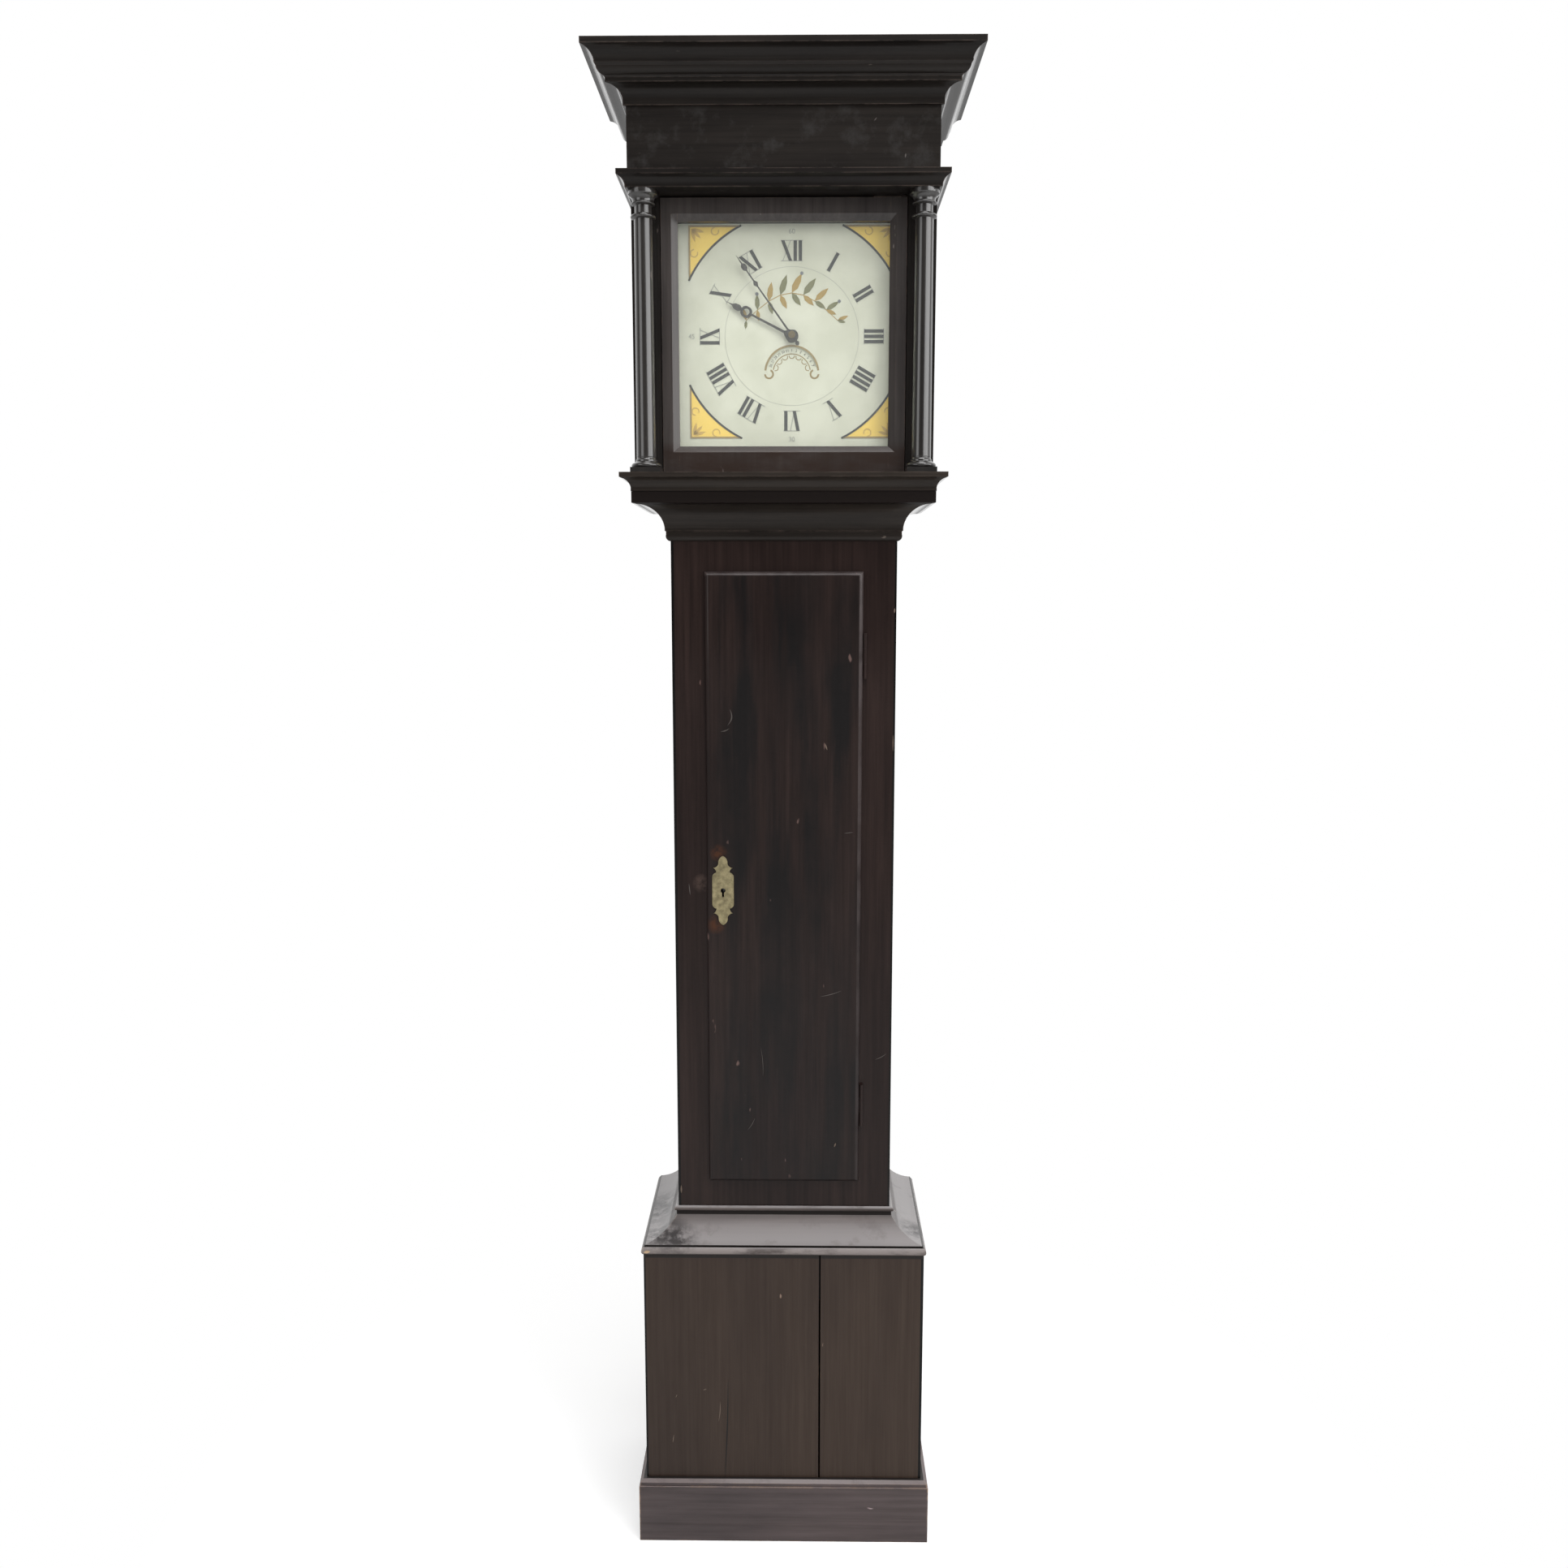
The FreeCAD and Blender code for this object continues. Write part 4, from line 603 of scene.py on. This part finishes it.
# Pale grey base moulding: dull bloom and dust, with painted sheen
moulding_wood = wood("moulding_oak", (0.0660, 0.0560, 0.0535), (0.1220, 0.1030, 0.0980), "x",
                     roughness=0.62, specular=0.10, coat=0.02, side_coat=0.8,
                     wear_and_highlight=(0.0022, 0.50, (0.40, 0.34, 0.30)), patches=((rubbed_nosing, nosing_tint),),
                     dust_and_painted_light=bloom_and_painted_sheen, bands=(bead_recess, nosing_groove), stains=moulding_dark_patches)
skirting_wood = wood("skirting_oak", (0.0460, 0.0330, 0.0320), (0.0820, 0.0620, 0.0630), "x",
                     roughness=0.42, specular=0.3, coat=0.3,
                     wear_and_highlight=(0.0026, 0.50, tan), dust_and_painted_light=pink_dust_and_painted_light, bands=(skirting_top,))
hood_door_wood = wood("hood_door_oak", (0.0290, 0.0245, 0.0228), (0.0560, 0.0475, 0.0450), "z",
                      roughness=0.40, specular=0.25, coat=0.5,
                      wear_and_highlight=(0.0014, 0.45, (0.16, 0.10, 0.07)), patches=((worn_rail, rail_worn_tint),))
plain_wood = wood("plain_oak", (0.115, 0.066, 0.034), (0.235, 0.145, 0.080), "z",
                  roughness=0.62, coat=0.0, chip=1.6)
seat_wood = wood("seat_oak", (0.100, 0.058, 0.030), (0.210, 0.130, 0.070), "x",
                 roughness=0.62, coat=0.0, chip=1.6)

# Metals, glass, rope and paints
brass = metal("aged_brass", (0.56, 0.48, 0.28), 0.40, dull=0.5)
plate_brass = metal("plate_brass", (0.58, 0.43, 0.18), 0.28, dull=0.15)
bell_metal = metal("bell_metal", (0.44, 0.34, 0.19), 0.30)
steel = metal("bright_steel", (0.32, 0.32, 0.33), 0.32)
hand_steel = metal("blackened_steel", (0.110, 0.100, 0.095), 0.42, dull=0.5)
iron = plain("cast_iron", (0.030, 0.029, 0.028), 0.75)
lead = plain("dull_lead", (0.16, 0.165, 0.175), 0.6)
dial_paint = painted_dial()
glass = window_glass()
rope = laid_rope()
ink = plain("black_ink", (0.012, 0.012, 0.013))
faint_ink = plain("faint_ink", (0.30, 0.31, 0.27), 0.6)
ochre = plain("ochre_paint", (0.92, 0.65, 0.100))
gilt = plain("gilt_line", (0.27, 0.20, 0.075), 0.45)
pale_ochre = plain("pale_ochre", (0.60, 0.38, 0.075))
border_ochre = plain("border_ochre", (0.34, 0.24, 0.085))
leaf_green = plain("leaf_green", (0.140, 0.140, 0.045), 0.6)
leaf_brown = plain("leaf_brown", (0.34, 0.22, 0.035), 0.6)
bud_grey = plain("bud_grey", (0.14, 0.15, 0.16), 0.6)
scratch_pale = plain("scratch_pale", (0.060, 0.050, 0.045))
scratch_tan = plain("scratch_tan", (0.115, 0.080, 0.058), 0.6)
chip_tan = plain("chip_tan", (0.46, 0.32, 0.20), 0.6)
crack_dark = plain("crack_dark", (0.006, 0.005, 0.0045), 0.8)

# Finish of each slot, and of the nodes that differ from their slot
finishes = {
    "dark_oak": trunk_wood, "plain_oak": plain_wood, "dial_paint": dial_paint, "brass": plate_brass,
    "bell_metal": bell_metal, "steel": steel, "glass": glass, "rope": rope, "iron": iron, "lead": lead,
}
special = {
    "cornice": black_wood, "hood_middle_moulding": black_wood, "hood_door_straps": black_wood,
    "hood_frieze": frieze_wood, "hood_columns": column_wood, "hood_top": return_wood,
    "hood_sides": black_upright, "hood_mask": black_upright, "hood_front_frame": black_upright,
    "hood_base_frame": throat_wood, "throat_moulding": throat_wood, "hood_door_frame": hood_door_wood,
    "trunk_door_panel": door_wood, "trunk_hinge_frame_leaves": trunk_wood,
    "trunk_hinge_door_leaves": trunk_wood,
    "base_front_boards": base_wood, "base_sides": base_wood, "base_moulding": moulding_wood,
    "skirting": skirting_wood, "seatboard": seat_wood, "escutcheon": brass,
    "minute_hand": hand_steel, "hour_hand": hand_steel,
}

# Rounding of arrises that catch the light
rounded = {
    "trunk_front_frame": 0.0012, "trunk_door_panel": 0.0006, "escutcheon": 0.0003,
    "base_front_boards": 0.0012, "base_sides": 0.0012, "base_moulding": 0.0008, "skirting": 0.0010,
    "cornice": 0.0008, "hood_frieze": 0.0010, "hood_middle_moulding": 0.0008, "hood_base_frame": 0.0008,
    "hood_door_frame": 0.0010, "throat_moulding": 0.0008, "driving_weight": 0.0015,
}


def dress_nodes():
    """Gives every solid its finish, and rounds the arrises that catch the light."""
    for entry in frame["record"]["subparts"]:
        node = nodes[entry["node"]]
        finish = special.get(entry["node"], finishes[entry["material_slot"]])
        node.data.materials.clear()
        node.data.materials.append(finish)
        if entry["node"] in rounded:
            bevel = node.modifiers.new("arris", "BEVEL")
            bevel.width = rounded[entry["node"]]
            bevel.segments = arris_segments
            bevel.limit_method = "ANGLE"
            bevel.angle_limit = math.radians(arris_angle)
            bevel.harden_normals = True


# Pieces that the scene adds

def new_piece(name, mesh, material):
    mesh.materials.clear()
    mesh.materials.append(material)
    piece = bpy.data.objects.new(name, mesh)
    bpy.context.scene.collection.objects.link(piece)
    return piece


def add_mesh(name, vertices, faces, material, body):
    mesh = bpy.data.meshes.new(name)
    mesh.from_pydata(vertices, [], faces)
    mesh.update()
    piece = new_piece(name, mesh, material)
    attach(piece, body)
    return piece


# Painting on the dial, as outlines of (x, z) from the dial centre

def paint_shapes(name, shapes, material, coat=1, rise=0.0):
    """Flat outlines as one sheet, so many coats in front of the dial."""
    y = dial_low.y - coat_gap * coat
    vertices = []
    faces = []
    for shape in shapes:
        start = len(vertices)
        vertices.extend((dial_x + x, y, dial_z + rise + z) for x, z in shape)
        faces.append(list(range(start, start + len(shape))))
    piece = add_mesh(name, vertices, faces, material, "case")
    work = bmesh.new()
    work.from_mesh(piece.data)
    bmesh.ops.triangulate(work, faces=work.faces)
    for face in work.faces:
        if face.normal.y > 0:
            face.normal_flip()
    work.to_mesh(piece.data)
    work.free()


def polar(radius, clock_degrees, centre=(0, 0)):
    """Point at a clockwise angle from the top."""
    turn = math.radians(clock_degrees)
    return (centre[0] + radius * math.sin(turn), centre[1] + radius * math.cos(turn))


def band(radius, width, start, end, steps, centre=(0, 0)):
    """Quads along an arc, clockwise from start to end in degrees."""
    outer, inner = radius + width / 2, radius - width / 2
    quads = []
    for number in range(steps):
        a = start + (end - start) * number / steps
        b = start + (end - start) * (number + 1) / steps
        quads.append([polar(outer, a, centre), polar(outer, b, centre),
                      polar(inner, b, centre), polar(inner, a, centre)])
    return quads


def stroke(x0, z0, x1, z1, width):
    """Upright or slanting stroke with level ends."""
    half = width / 2
    return [(x0 - half, z0), (x0 + half, z0), (x1 + half, z1), (x1 - half, z1)]


def leaf(x, z, turn, length, width):
    """Pointed leaf as a six-point outline, each point by its share of the length and of the width."""
    along = (math.cos(math.radians(turn)), math.sin(math.radians(turn)))
    aside = (-along[1], along[0])
    outline = []
    for share, half in ((0, 0), (0.3, 0.42), (0.65, 0.38), (1, 0), (0.65, -0.38), (0.3, -0.42)):
        outline.append((x + along[0] * length * share + aside[0] * width * half,
                        z + along[1] * length * share + aside[1] * width * half))
    return outline


def letter_strokes(letter):
    """Thick strokes, faded thin strokes and width of I, V or X about its middle."""
    low, high = -numeral_height / 2, numeral_height / 2
    if letter == "I":
        return [stroke(0, low, 0, high, numeral_thick)], [], numeral_thick + upright_gap
    foot = 0 if letter == "V" else letter_half
    thick = stroke(foot, low, -letter_half, high, numeral_thick)
    thin = stroke(-foot, low, letter_half, high, numeral_thin)
    return [thick], [thin], 2 * letter_half + numeral_thick + letter_gap


def on_hour_ring(shapes, middle, turn):
    """Shapes moved aside, out to the ring of hours, and turned about the dial centre."""
    turned = []
    for shape in shapes:
        points = [(x + middle, z + numeral_radius) for x, z in shape]
        turned.append([(x * math.cos(turn) + z * math.sin(turn), z * math.cos(turn) - x * math.sin(turn))
                       for x, z in points])
    return turned


def numeral(letters, clock_degrees):
    """Roman numeral set with its foot towards the dial centre, as thick shapes and faded fine shapes."""
    parts = [letter_strokes(letter) for letter in letters]
    total = sum(width for _, _, width in parts)
    turn = math.radians(clock_degrees)
    thick, fine = [], []
    pen = -total / 2
    for heavy, light, width in parts:
        thick.extend(on_hour_ring(heavy, pen + width / 2, turn))
        fine.extend(on_hour_ring(light, pen + width / 2, turn))
        pen += width
    serif = numeral_thin / 2
    for z in (-numeral_height / 2, numeral_height / 2):
        fine.extend(on_hour_ring([stroke(0, z - serif, 0, z + serif, total)], 0, turn))
    return thick, fine


def add_text(name, words, size, at, y, turn, material, body):
    curve = bpy.data.curves.new(name, "FONT")
    curve.body = words
    curve.size = size
    curve.align_x = "CENTER"
    curve.align_y = "CENTER"
    letters = bpy.data.objects.new(name, curve)
    bpy.context.scene.collection.objects.link(letters)
    letters.location = (dial_x + at[0], y, dial_z + at[1])
    letters.rotation_euler = (math.radians(90), math.radians(turn), 0)
    bpy.context.view_layer.update()
    drawn = letters.evaluated_get(bpy.context.evaluated_depsgraph_get())
    mesh = bpy.data.meshes.new_from_object(drawn)
    mesh.transform(letters.matrix_world)
    bpy.data.objects.remove(letters)
    piece = new_piece(name, mesh, material)
    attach(piece, body)


def corner_field(steps=16):
    """Corner left between a square and a circle too big for it."""
    edge = math.sqrt(corner_circle ** 2 - corner_half ** 2)
    start = math.degrees(math.atan2(edge, corner_half))
    end = math.degrees(math.atan2(corner_half, edge))
    arc = [polar(corner_circle, start + (end - start) * number / steps) for number in range(steps + 1)]
    return [[(corner_half, corner_half)] + arc]


def corner_scrolls():
    """Traditional fan and two curls."""
    tip = corner_half - fan_inset
    inwards = 225
    shapes = []
    for spread in (-fan_spread, 0, fan_spread):
        shapes.append(leaf(tip, tip, inwards + spread, fan_length, fan_width))
    for x, z in ((tip - curl_near, tip - curl_far), (tip - curl_far, tip - curl_near)):
        shapes.extend(band(curl_radius, curl_line, 0, curl_turn, steps=18, centre=(x, z)))
    return shapes


def corner_edges():
    """Brown shading along the two straight sides of a corner."""
    edge = math.sqrt(corner_circle ** 2 - corner_half ** 2)
    inner = corner_half - corner_border
    upright = [(inner, edge + corner_border), (corner_half, edge),
               (corner_half, corner_half), (inner, corner_half)]
    level = [(edge, corner_half), (edge + corner_border, inner),
             (inner, inner), (inner, corner_half)]
    return [upright, level]


def in_corners(shapes):
    """Shapes of the upper right corner, mirrored into all four."""
    return [[(sx * x, sz * z) for x, z in shape] for sx in (-1, 1) for sz in (-1, 1) for shape in shapes]


def corner_painting():
    paint_shapes("dial_corners", in_corners(corner_field()), ochre, rise=corner_rise)
    paint_shapes("dial_corner_scrolls", in_corners(corner_scrolls()), pale_ochre, 2, rise=corner_rise)
    paint_shapes("dial_corner_edges", in_corners(corner_edges()), border_ochre, 3, rise=corner_rise)
    edge = math.degrees(math.acos(corner_half / corner_circle))
    lines = []
    for quarter in (0, 90, 180, 270):
        lines.extend(band(corner_circle, corner_line, quarter + edge, quarter + 90 - edge, steps=24))
    paint_shapes("dial_corner_lines", lines, ink, 3, rise=corner_rise)


def hour_and_minute_numbers():
    thick, fine = [], []
    for hour, letters in enumerate(hour_numbers):
        heavy, light = numeral(letters, hour_angle * hour)
        thick.extend(heavy)
        fine.extend(light)
    paint_shapes("dial_numerals", thick, ink, 3)
    paint_shapes("dial_numerals_faded", fine, faint_ink, 2)
    paint_shapes("dial_inner_circle", band(inner_circle, inner_line, 0, 360, steps=120), faint_ink, 1)
    for minutes in (15, 30, 45, 60):
        at = polar(minute_radius, minute_angle * minutes)
        add_text("dial_minute_%d" % minutes, str(minutes), minute_height, at,
                 dial_low.y - 2 * coat_gap, 0, faint_ink, "case")


def sprig():
    """Leafy spray in the dial's own colours: one arched stem, leaves in pairs, and buds along it."""
    greens, browns, buds, stems = [], [], [], []
    previous = None
    for number in range(sprig_leaves + 1):
        share = number / sprig_leaves
        swell = math.sin(math.pi * share)
        x = (share - 0.5) * sprig_width
        z = sprig_height + sprig_arch * swell
        if previous:
            x0, z0 = previous
            stems.append([(x0, z0 - stem_half), (x, z - stem_half),
                          (x, z + stem_half), (x0, z0 + stem_half)])
        lean = sprig_lean * (1 - 2 * share)
        size = sprig_leaf * (end_leaf + (1 - end_leaf) * swell)
        upward = 90 + lean - upper_tilt
        downward = 270 - lean + lower_tilt
        upper, lower = (greens, browns) if number % 2 else (browns, greens)
        upper.append(leaf(x, z, upward, size, upper_width * size))
        lower.append(leaf(x, z, downward, lower_length * size, lower_width * size))
        if number % 3 == 1:
            turn = math.radians(upward)
            tip = (x + size * math.cos(turn), z + size * math.sin(turn))
            buds.extend(band(bud_radius / 2, bud_radius, 0, 360, steps=12, centre=tip))
        previous = (x, z)
    paint_shapes("dial_sprig_stems", stems, leaf_brown, 1)
    paint_shapes("dial_sprig_leaves", greens, leaf_green, 2)
    paint_shapes("dial_sprig_leaves_brown", browns, leaf_brown, 2)
    paint_shapes("dial_sprig_buds", buds, bud_grey, 3)


def calendar_painting():
    """Gilt lines, curled ends and a scalloped inner edge round the opening, and the days on the disc."""
    centre = (0, calendar_z - dial_z)
    shapes = []
    for radius, width, reach, steps in calendar_lines:
        shapes.extend(band(radius, width, -reach, reach, steps, centre))
    for side in (-1, 1):
        at = polar(end_curl_from, side * end_curl_angle, centre)
        start, end = side * end_curl_start, side * end_curl_end
        shapes.extend(band(end_curl_radius, end_curl_line, start, end, steps=24, centre=at))
    for number in range(-scallops_aside, scallops_aside + 1):
        turn = scallop_angle * number
        at = polar(scallop_from, turn, centre)
        shapes.extend(band(scallop_radius, scallop_line, turn + 90, turn + 270, steps=12, centre=at))
    paint_shapes("calendar_border", shapes, gilt, 1)
    for day in range(1, days + 1):
        turn = 360 * (day - 1) / days
        add_text("calendar_day_%02d" % day, str(day), day_height, polar(day_radius, turn, centre),
                 calendar_low.y - coat_gap, turn, ink, "calendar")


# Marks of use: x from the middle of the case, z from the floor, length, lean in degrees, width, bow, colour
door_marks = (
    (-0.073, 1.165, 0.022, 8, 0.0016, 0.004, scratch_pale),
    (-0.078, 1.148, 0.012, 70, 0.0013, 0.001, scratch_pale),
    (0.056, 1.126, 0.010, -20, 0.0018, 0.0, scratch_tan),
    (0.064, 0.787, 0.030, 74, 0.0011, 0.001, scratch_pale),
    (-0.030, 0.690, 0.040, -4, 0.0006, 0.001, scratch_pale),
    (0.071, 0.570, 0.006, 20, 0.0018, 0.0, scratch_tan),
    (0.087, 1.010, 0.012, 84, 0.0009, 0.0, scratch_pale),
    (-0.045, 0.600, 0.020, 30, 0.0007, 0.001, scratch_pale),
)
trunk_marks = (
    (0.134, 0.695, 0.018, 60, 0.0010, 0.001, scratch_pale),
    (-0.128, 0.930, 0.016, -6, 0.0012, 0.0, scratch_pale),
    (0.1455, 1.305, 0.006, 2, 0.0020, 0.0, scratch_tan),
    (0.1455, 1.130, 0.022, 0, 0.0012, 0.0, scratch_tan),
    (-0.1440, 0.500, 0.012, 0, 0.0020, 0.0, scratch_tan),
)
base_marks = (
    (-0.080, 0.165, 0.150, 2, 0.0016, 0.001, crack_dark),
    (-0.090, 0.192, 0.030, 4, 0.0012, 0.001, scratch_tan),
    (-0.110, 0.225, 0.005, 70, 0.0014, 0.0, scratch_tan),
    (-0.150, 0.215, 0.005, 20, 0.0010, 0.0, scratch_tan),
    (-0.155, 0.150, 0.012, 8, 0.0012, 0.0, scratch_tan),
)
frieze_marks = (
    (0.149, 1.856, 0.005, 8, 0.0016, 0.0, scratch_pale),
    (0.112, 1.898, 0.005, 40, 0.0010, 0.0, scratch_pale),
)
nosing_chip = (moulding_low.x + 0.008, moulding_low.z + 0.0050, 0.009, 80, 0.0042, 0.0, chip_tan)


def sliver(name, body, face_y, mark, steps=8):
    """Thin tapering mark just in front of a face, leaning from upright, bowed sideways."""
    blunt = 0.04
    x, z, length, lean, width, bow, material = mark
    turn = math.radians(lean)
    along = (math.sin(turn), math.cos(turn))
    aside = (math.cos(turn), -math.sin(turn))
    y = face_y - coat_gap
    left, right = [], []
    for number in range(steps + 1):
        share = number / steps
        off = bow * math.sin(math.pi * share)
        half = width / 2 * math.sin(math.pi * (blunt + (1 - 2 * blunt) * share))
        middle = (x + along[0] * length * (share - 0.5) + aside[0] * off,
                  z + along[1] * length * (share - 0.5) + aside[1] * off)
        left.append((middle[0] - aside[0] * half, y, middle[1] - aside[1] * half))
        right.append((middle[0] + aside[0] * half, y, middle[1] + aside[1] * half))
    faces = []
    for number in range(steps):
        faces.append([steps + 1 + number, number, number + 1, steps + 2 + number])
    add_mesh(name, left + right, faces, material, body)


def marks_of_use():
    """Scratches and small chips on door, trunk and frieze, and the crack and chips of the base."""
    marked = (
        ("door_mark", "trunk_door", door_low.y, door_marks),
        ("trunk_mark", "case", trunk_low.y, trunk_marks),
        ("base_mark", "case", base_low.y, base_marks),
        ("frieze_mark", "hood", frieze_low.y, frieze_marks),
    )
    for word, body, face_y, marks in marked:
        for number, mark in enumerate(marks):
            sliver("%s_%d" % (word, number), body, face_y, mark)
    sliver("nosing_chip", "case", moulding_low.y, nosing_chip)


# Ropes

def laid_line(name, points, normal, radius, sides=6):
    """Rope of strands laid round a flat run of points, whose plane has the given normal."""
    strand = strand_share * radius
    lay = radius - strand
    normal = Vector(normal)
    vertices, faces, rings = [], [], []
    travelled = 0.0
    for number, point in enumerate(points):
        before = points[max(number - 1, 0)]
        after = points[min(number + 1, len(points) - 1)]
        along = (after - before).normalized()
        across = along.cross(normal)
        if number:
            travelled += (point - before).length
        ring = []
        for which in range(strands):
            twist = 2 * math.pi * (which / strands + travelled / (rope_lay * radius))
            middle = point + lay * (math.cos(twist) * normal + math.sin(twist) * across)
            ring.append(len(vertices))
            for side in range(sides):
                turn = 2 * math.pi * side / sides
                vertices.append(middle + strand * (math.cos(turn) * normal + math.sin(turn) * across))
        rings.append(ring)
    for first, second in zip(rings, rings[1:]):
        for low, high in zip(first, second):
            for side in range(sides):
                beside = (side + 1) % sides
                faces.append([low + side, low + beside, high + beside, high + side])
    for start in rings[0]:
        faces.append([start + side for side in reversed(range(sides))])
    for start in rings[-1]:
        faces.append([start + side for side in range(sides)])
    mesh = bpy.data.meshes.new(name)
    mesh.from_pydata([tuple(vertex) for vertex in vertices], [], faces)
    mesh.shade_smooth()
    return new_piece(name, mesh, rope)


def straight_run(top, bottom, step):
    count = max(2, round((bottom - top).length / step))
    return [top.lerp(bottom, number / count) for number in range(count + 1)]


def half_round(centre, radius, upwards, steps=40):
    """Half circle in the plane facing the front, from its left end to its right end."""
    points = []
    for number in range(steps + 1):
        turn = math.pi * (1 - number / steps)
        rise = math.sin(turn) if upwards else -math.sin(turn)
        points.append(centre + Vector((radius * math.cos(turn), 0, radius * rise)))
    return points


def clock_ropes():
    """The endless rope: over both pulleys, down to the sheave of the weight and to the counter ring."""
    low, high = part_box("weight_rope")
    radius = (high.y - low.y) / 2
    y = (high.y + low.y) / 2
    middle = (high.x + low.x) / 2
    inner = (high.x - low.x) / 2 - radius
    over_low, over_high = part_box("pulley_rope")
    outer = (over_high.x - over_low.x) / 2 - radius
    loop_low, loop_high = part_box("ring_loop")
    loop_y = (loop_low.y + loop_high.y) / 2
    loop_half = (loop_high.x - loop_low.x) / 2 - radius
    sheave_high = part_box("sheave_rope")[1]
    front = (0, -1, 0)
    step = rope_lay * radius / rings_in_lay
    for side, word in ((-1, "left"), (1, "right")):
        top = Vector((middle + side * inner, y, high.z))
        end = Vector((middle + side * inner, y, low.z))
        fall = laid_line("weight_fall_" + word, straight_run(top, end, step), front, radius)
        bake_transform(fall)
        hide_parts("weight_rope")
        top = Vector((middle + side * outer, y, high.z))
        end = Vector((middle + side * loop_half, loop_y, loop_high.z))
        normal = (end - top).orthogonal().normalized()
        slant = laid_line("ring_fall_" + word, straight_run(top, end, step), normal, radius)
        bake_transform(slant)
        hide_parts("ring_rope")
        centre = Vector((middle + side * (inner + outer) / 2, y, over_low.z))
        turn = half_round(centre, (outer - inner) / 2, True)
        over = laid_line("pulley_turn_" + word, turn, front, radius)
        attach(over, "case")
        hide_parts("pulley_rope")
    turn = half_round(Vector((middle, y, sheave_high.z)), inner, False)
    under = laid_line("sheave_turn_line", turn, front, radius)
    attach(under, "weight")
    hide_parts("sheave_rope")
    turn = half_round(Vector((middle, loop_y, loop_high.z)), loop_half, False)
    bight = laid_line("ring_bight", turn, front, radius)
    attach(bight, "ring")
    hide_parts("ring_loop")


# Stage

def seen_or_lit(tree, seen, lit):
    """One level where the camera looks, also through glass, and another for the light that is cast."""
    straight = tree.light_path("Is Camera Ray")
    through = tree.light_path("Is Transmission Ray")
    looks = tree.number("Math", "ADD", straight, through)
    return tree.mapped(looks, (0.0, 1.0), (lit, seen))


def world_light():
    """White where the camera looks; in reflections white behind the clock and a dim room in front of it."""
    world = bpy.data.worlds.new("studio")
    bpy.context.scene.world = world
    tree = NodeTree(world)
    level = seen_or_lit(tree, 1.0, room_light)
    towards_back = tree.axis(tree.place("Generated"), "Y")
    behind = tree.mapped(towards_back, (gloss_dim_until, gloss_white_from), (room_gloss, 1.0))
    strength = tree.mapped(tree.light_path("Is Glossy Ray"), (0.0, 1.0), (level, behind))
    tree.fill(tree.nodes["Background"], {"Color": white, "Strength": strength})


def add_floor():
    """Floor that keeps the shadow near the clock and runs out to plain white."""
    bpy.ops.mesh.primitive_plane_add(size=floor_size)
    floor = bpy.context.object
    floor.name = "floor"
    material, tree, shader = new_material("white_floor")
    tree.fill(shader, {
        "Base Color": grey(floor_grey),
        "Roughness": 0.9,
        "Specular IOR Level": 0.0,
        "Emission Color": white,
        "Emission Strength": seen_or_lit(tree, floor_glow, 0.0),
    })
    away = tree.number("VectorMath", "LENGTH", tree.place())
    fade = tree.mapped(away, (floor_near, floor_far), (0.0, 1.0))
    share = tree.number("Math", "MULTIPLY", fade, tree.light_path("Is Camera Ray"))
    mix = tree.add("MixShader")
    tree.feed(mix.inputs["Fac"], share)
    tree.feed(mix.inputs[1], shader.outputs["BSDF"])
    tree.feed(mix.inputs[2], tree.add("Emission").outputs["Emission"])
    tree.fill(tree.nodes["Material Output"], {"Surface": mix.outputs["Shader"]})
    floor.data.materials.append(material)


def add_area(name, place, target, size, power):
    lamp = bpy.data.lights.new(name, "AREA")
    lamp.size = size
    lamp.energy = power
    light = bpy.data.objects.new(name, lamp)
    bpy.context.scene.collection.objects.link(light)
    light.location = place
    light.rotation_euler = (Vector(target) - Vector(place)).to_track_quat("-Z", "Y").to_euler()


def add_camera():
    lens = bpy.data.cameras.new("camera")
    lens.sensor_width = sensor_width
    lens.lens = sensor_width * focal_pixels / image_size
    camera = bpy.data.objects.new("camera", lens)
    bpy.context.scene.collection.objects.link(camera)
    camera.location = (camera_aside, trunk_low.y - camera_to_trunk, camera_height)
    camera.rotation_euler = (math.radians(90 - camera_pitch), 0, math.radians(camera_yaw))
    bpy.context.scene.camera = camera


dress_nodes()
corner_painting()
hour_and_minute_numbers()
sprig()
calendar_painting()
marks_of_use()
clock_ropes()
world_light()
add_floor()
for lamp in lamps:
    add_area(*lamp)
add_camera()
bpy.context.scene.view_settings.view_transform = "Standard"
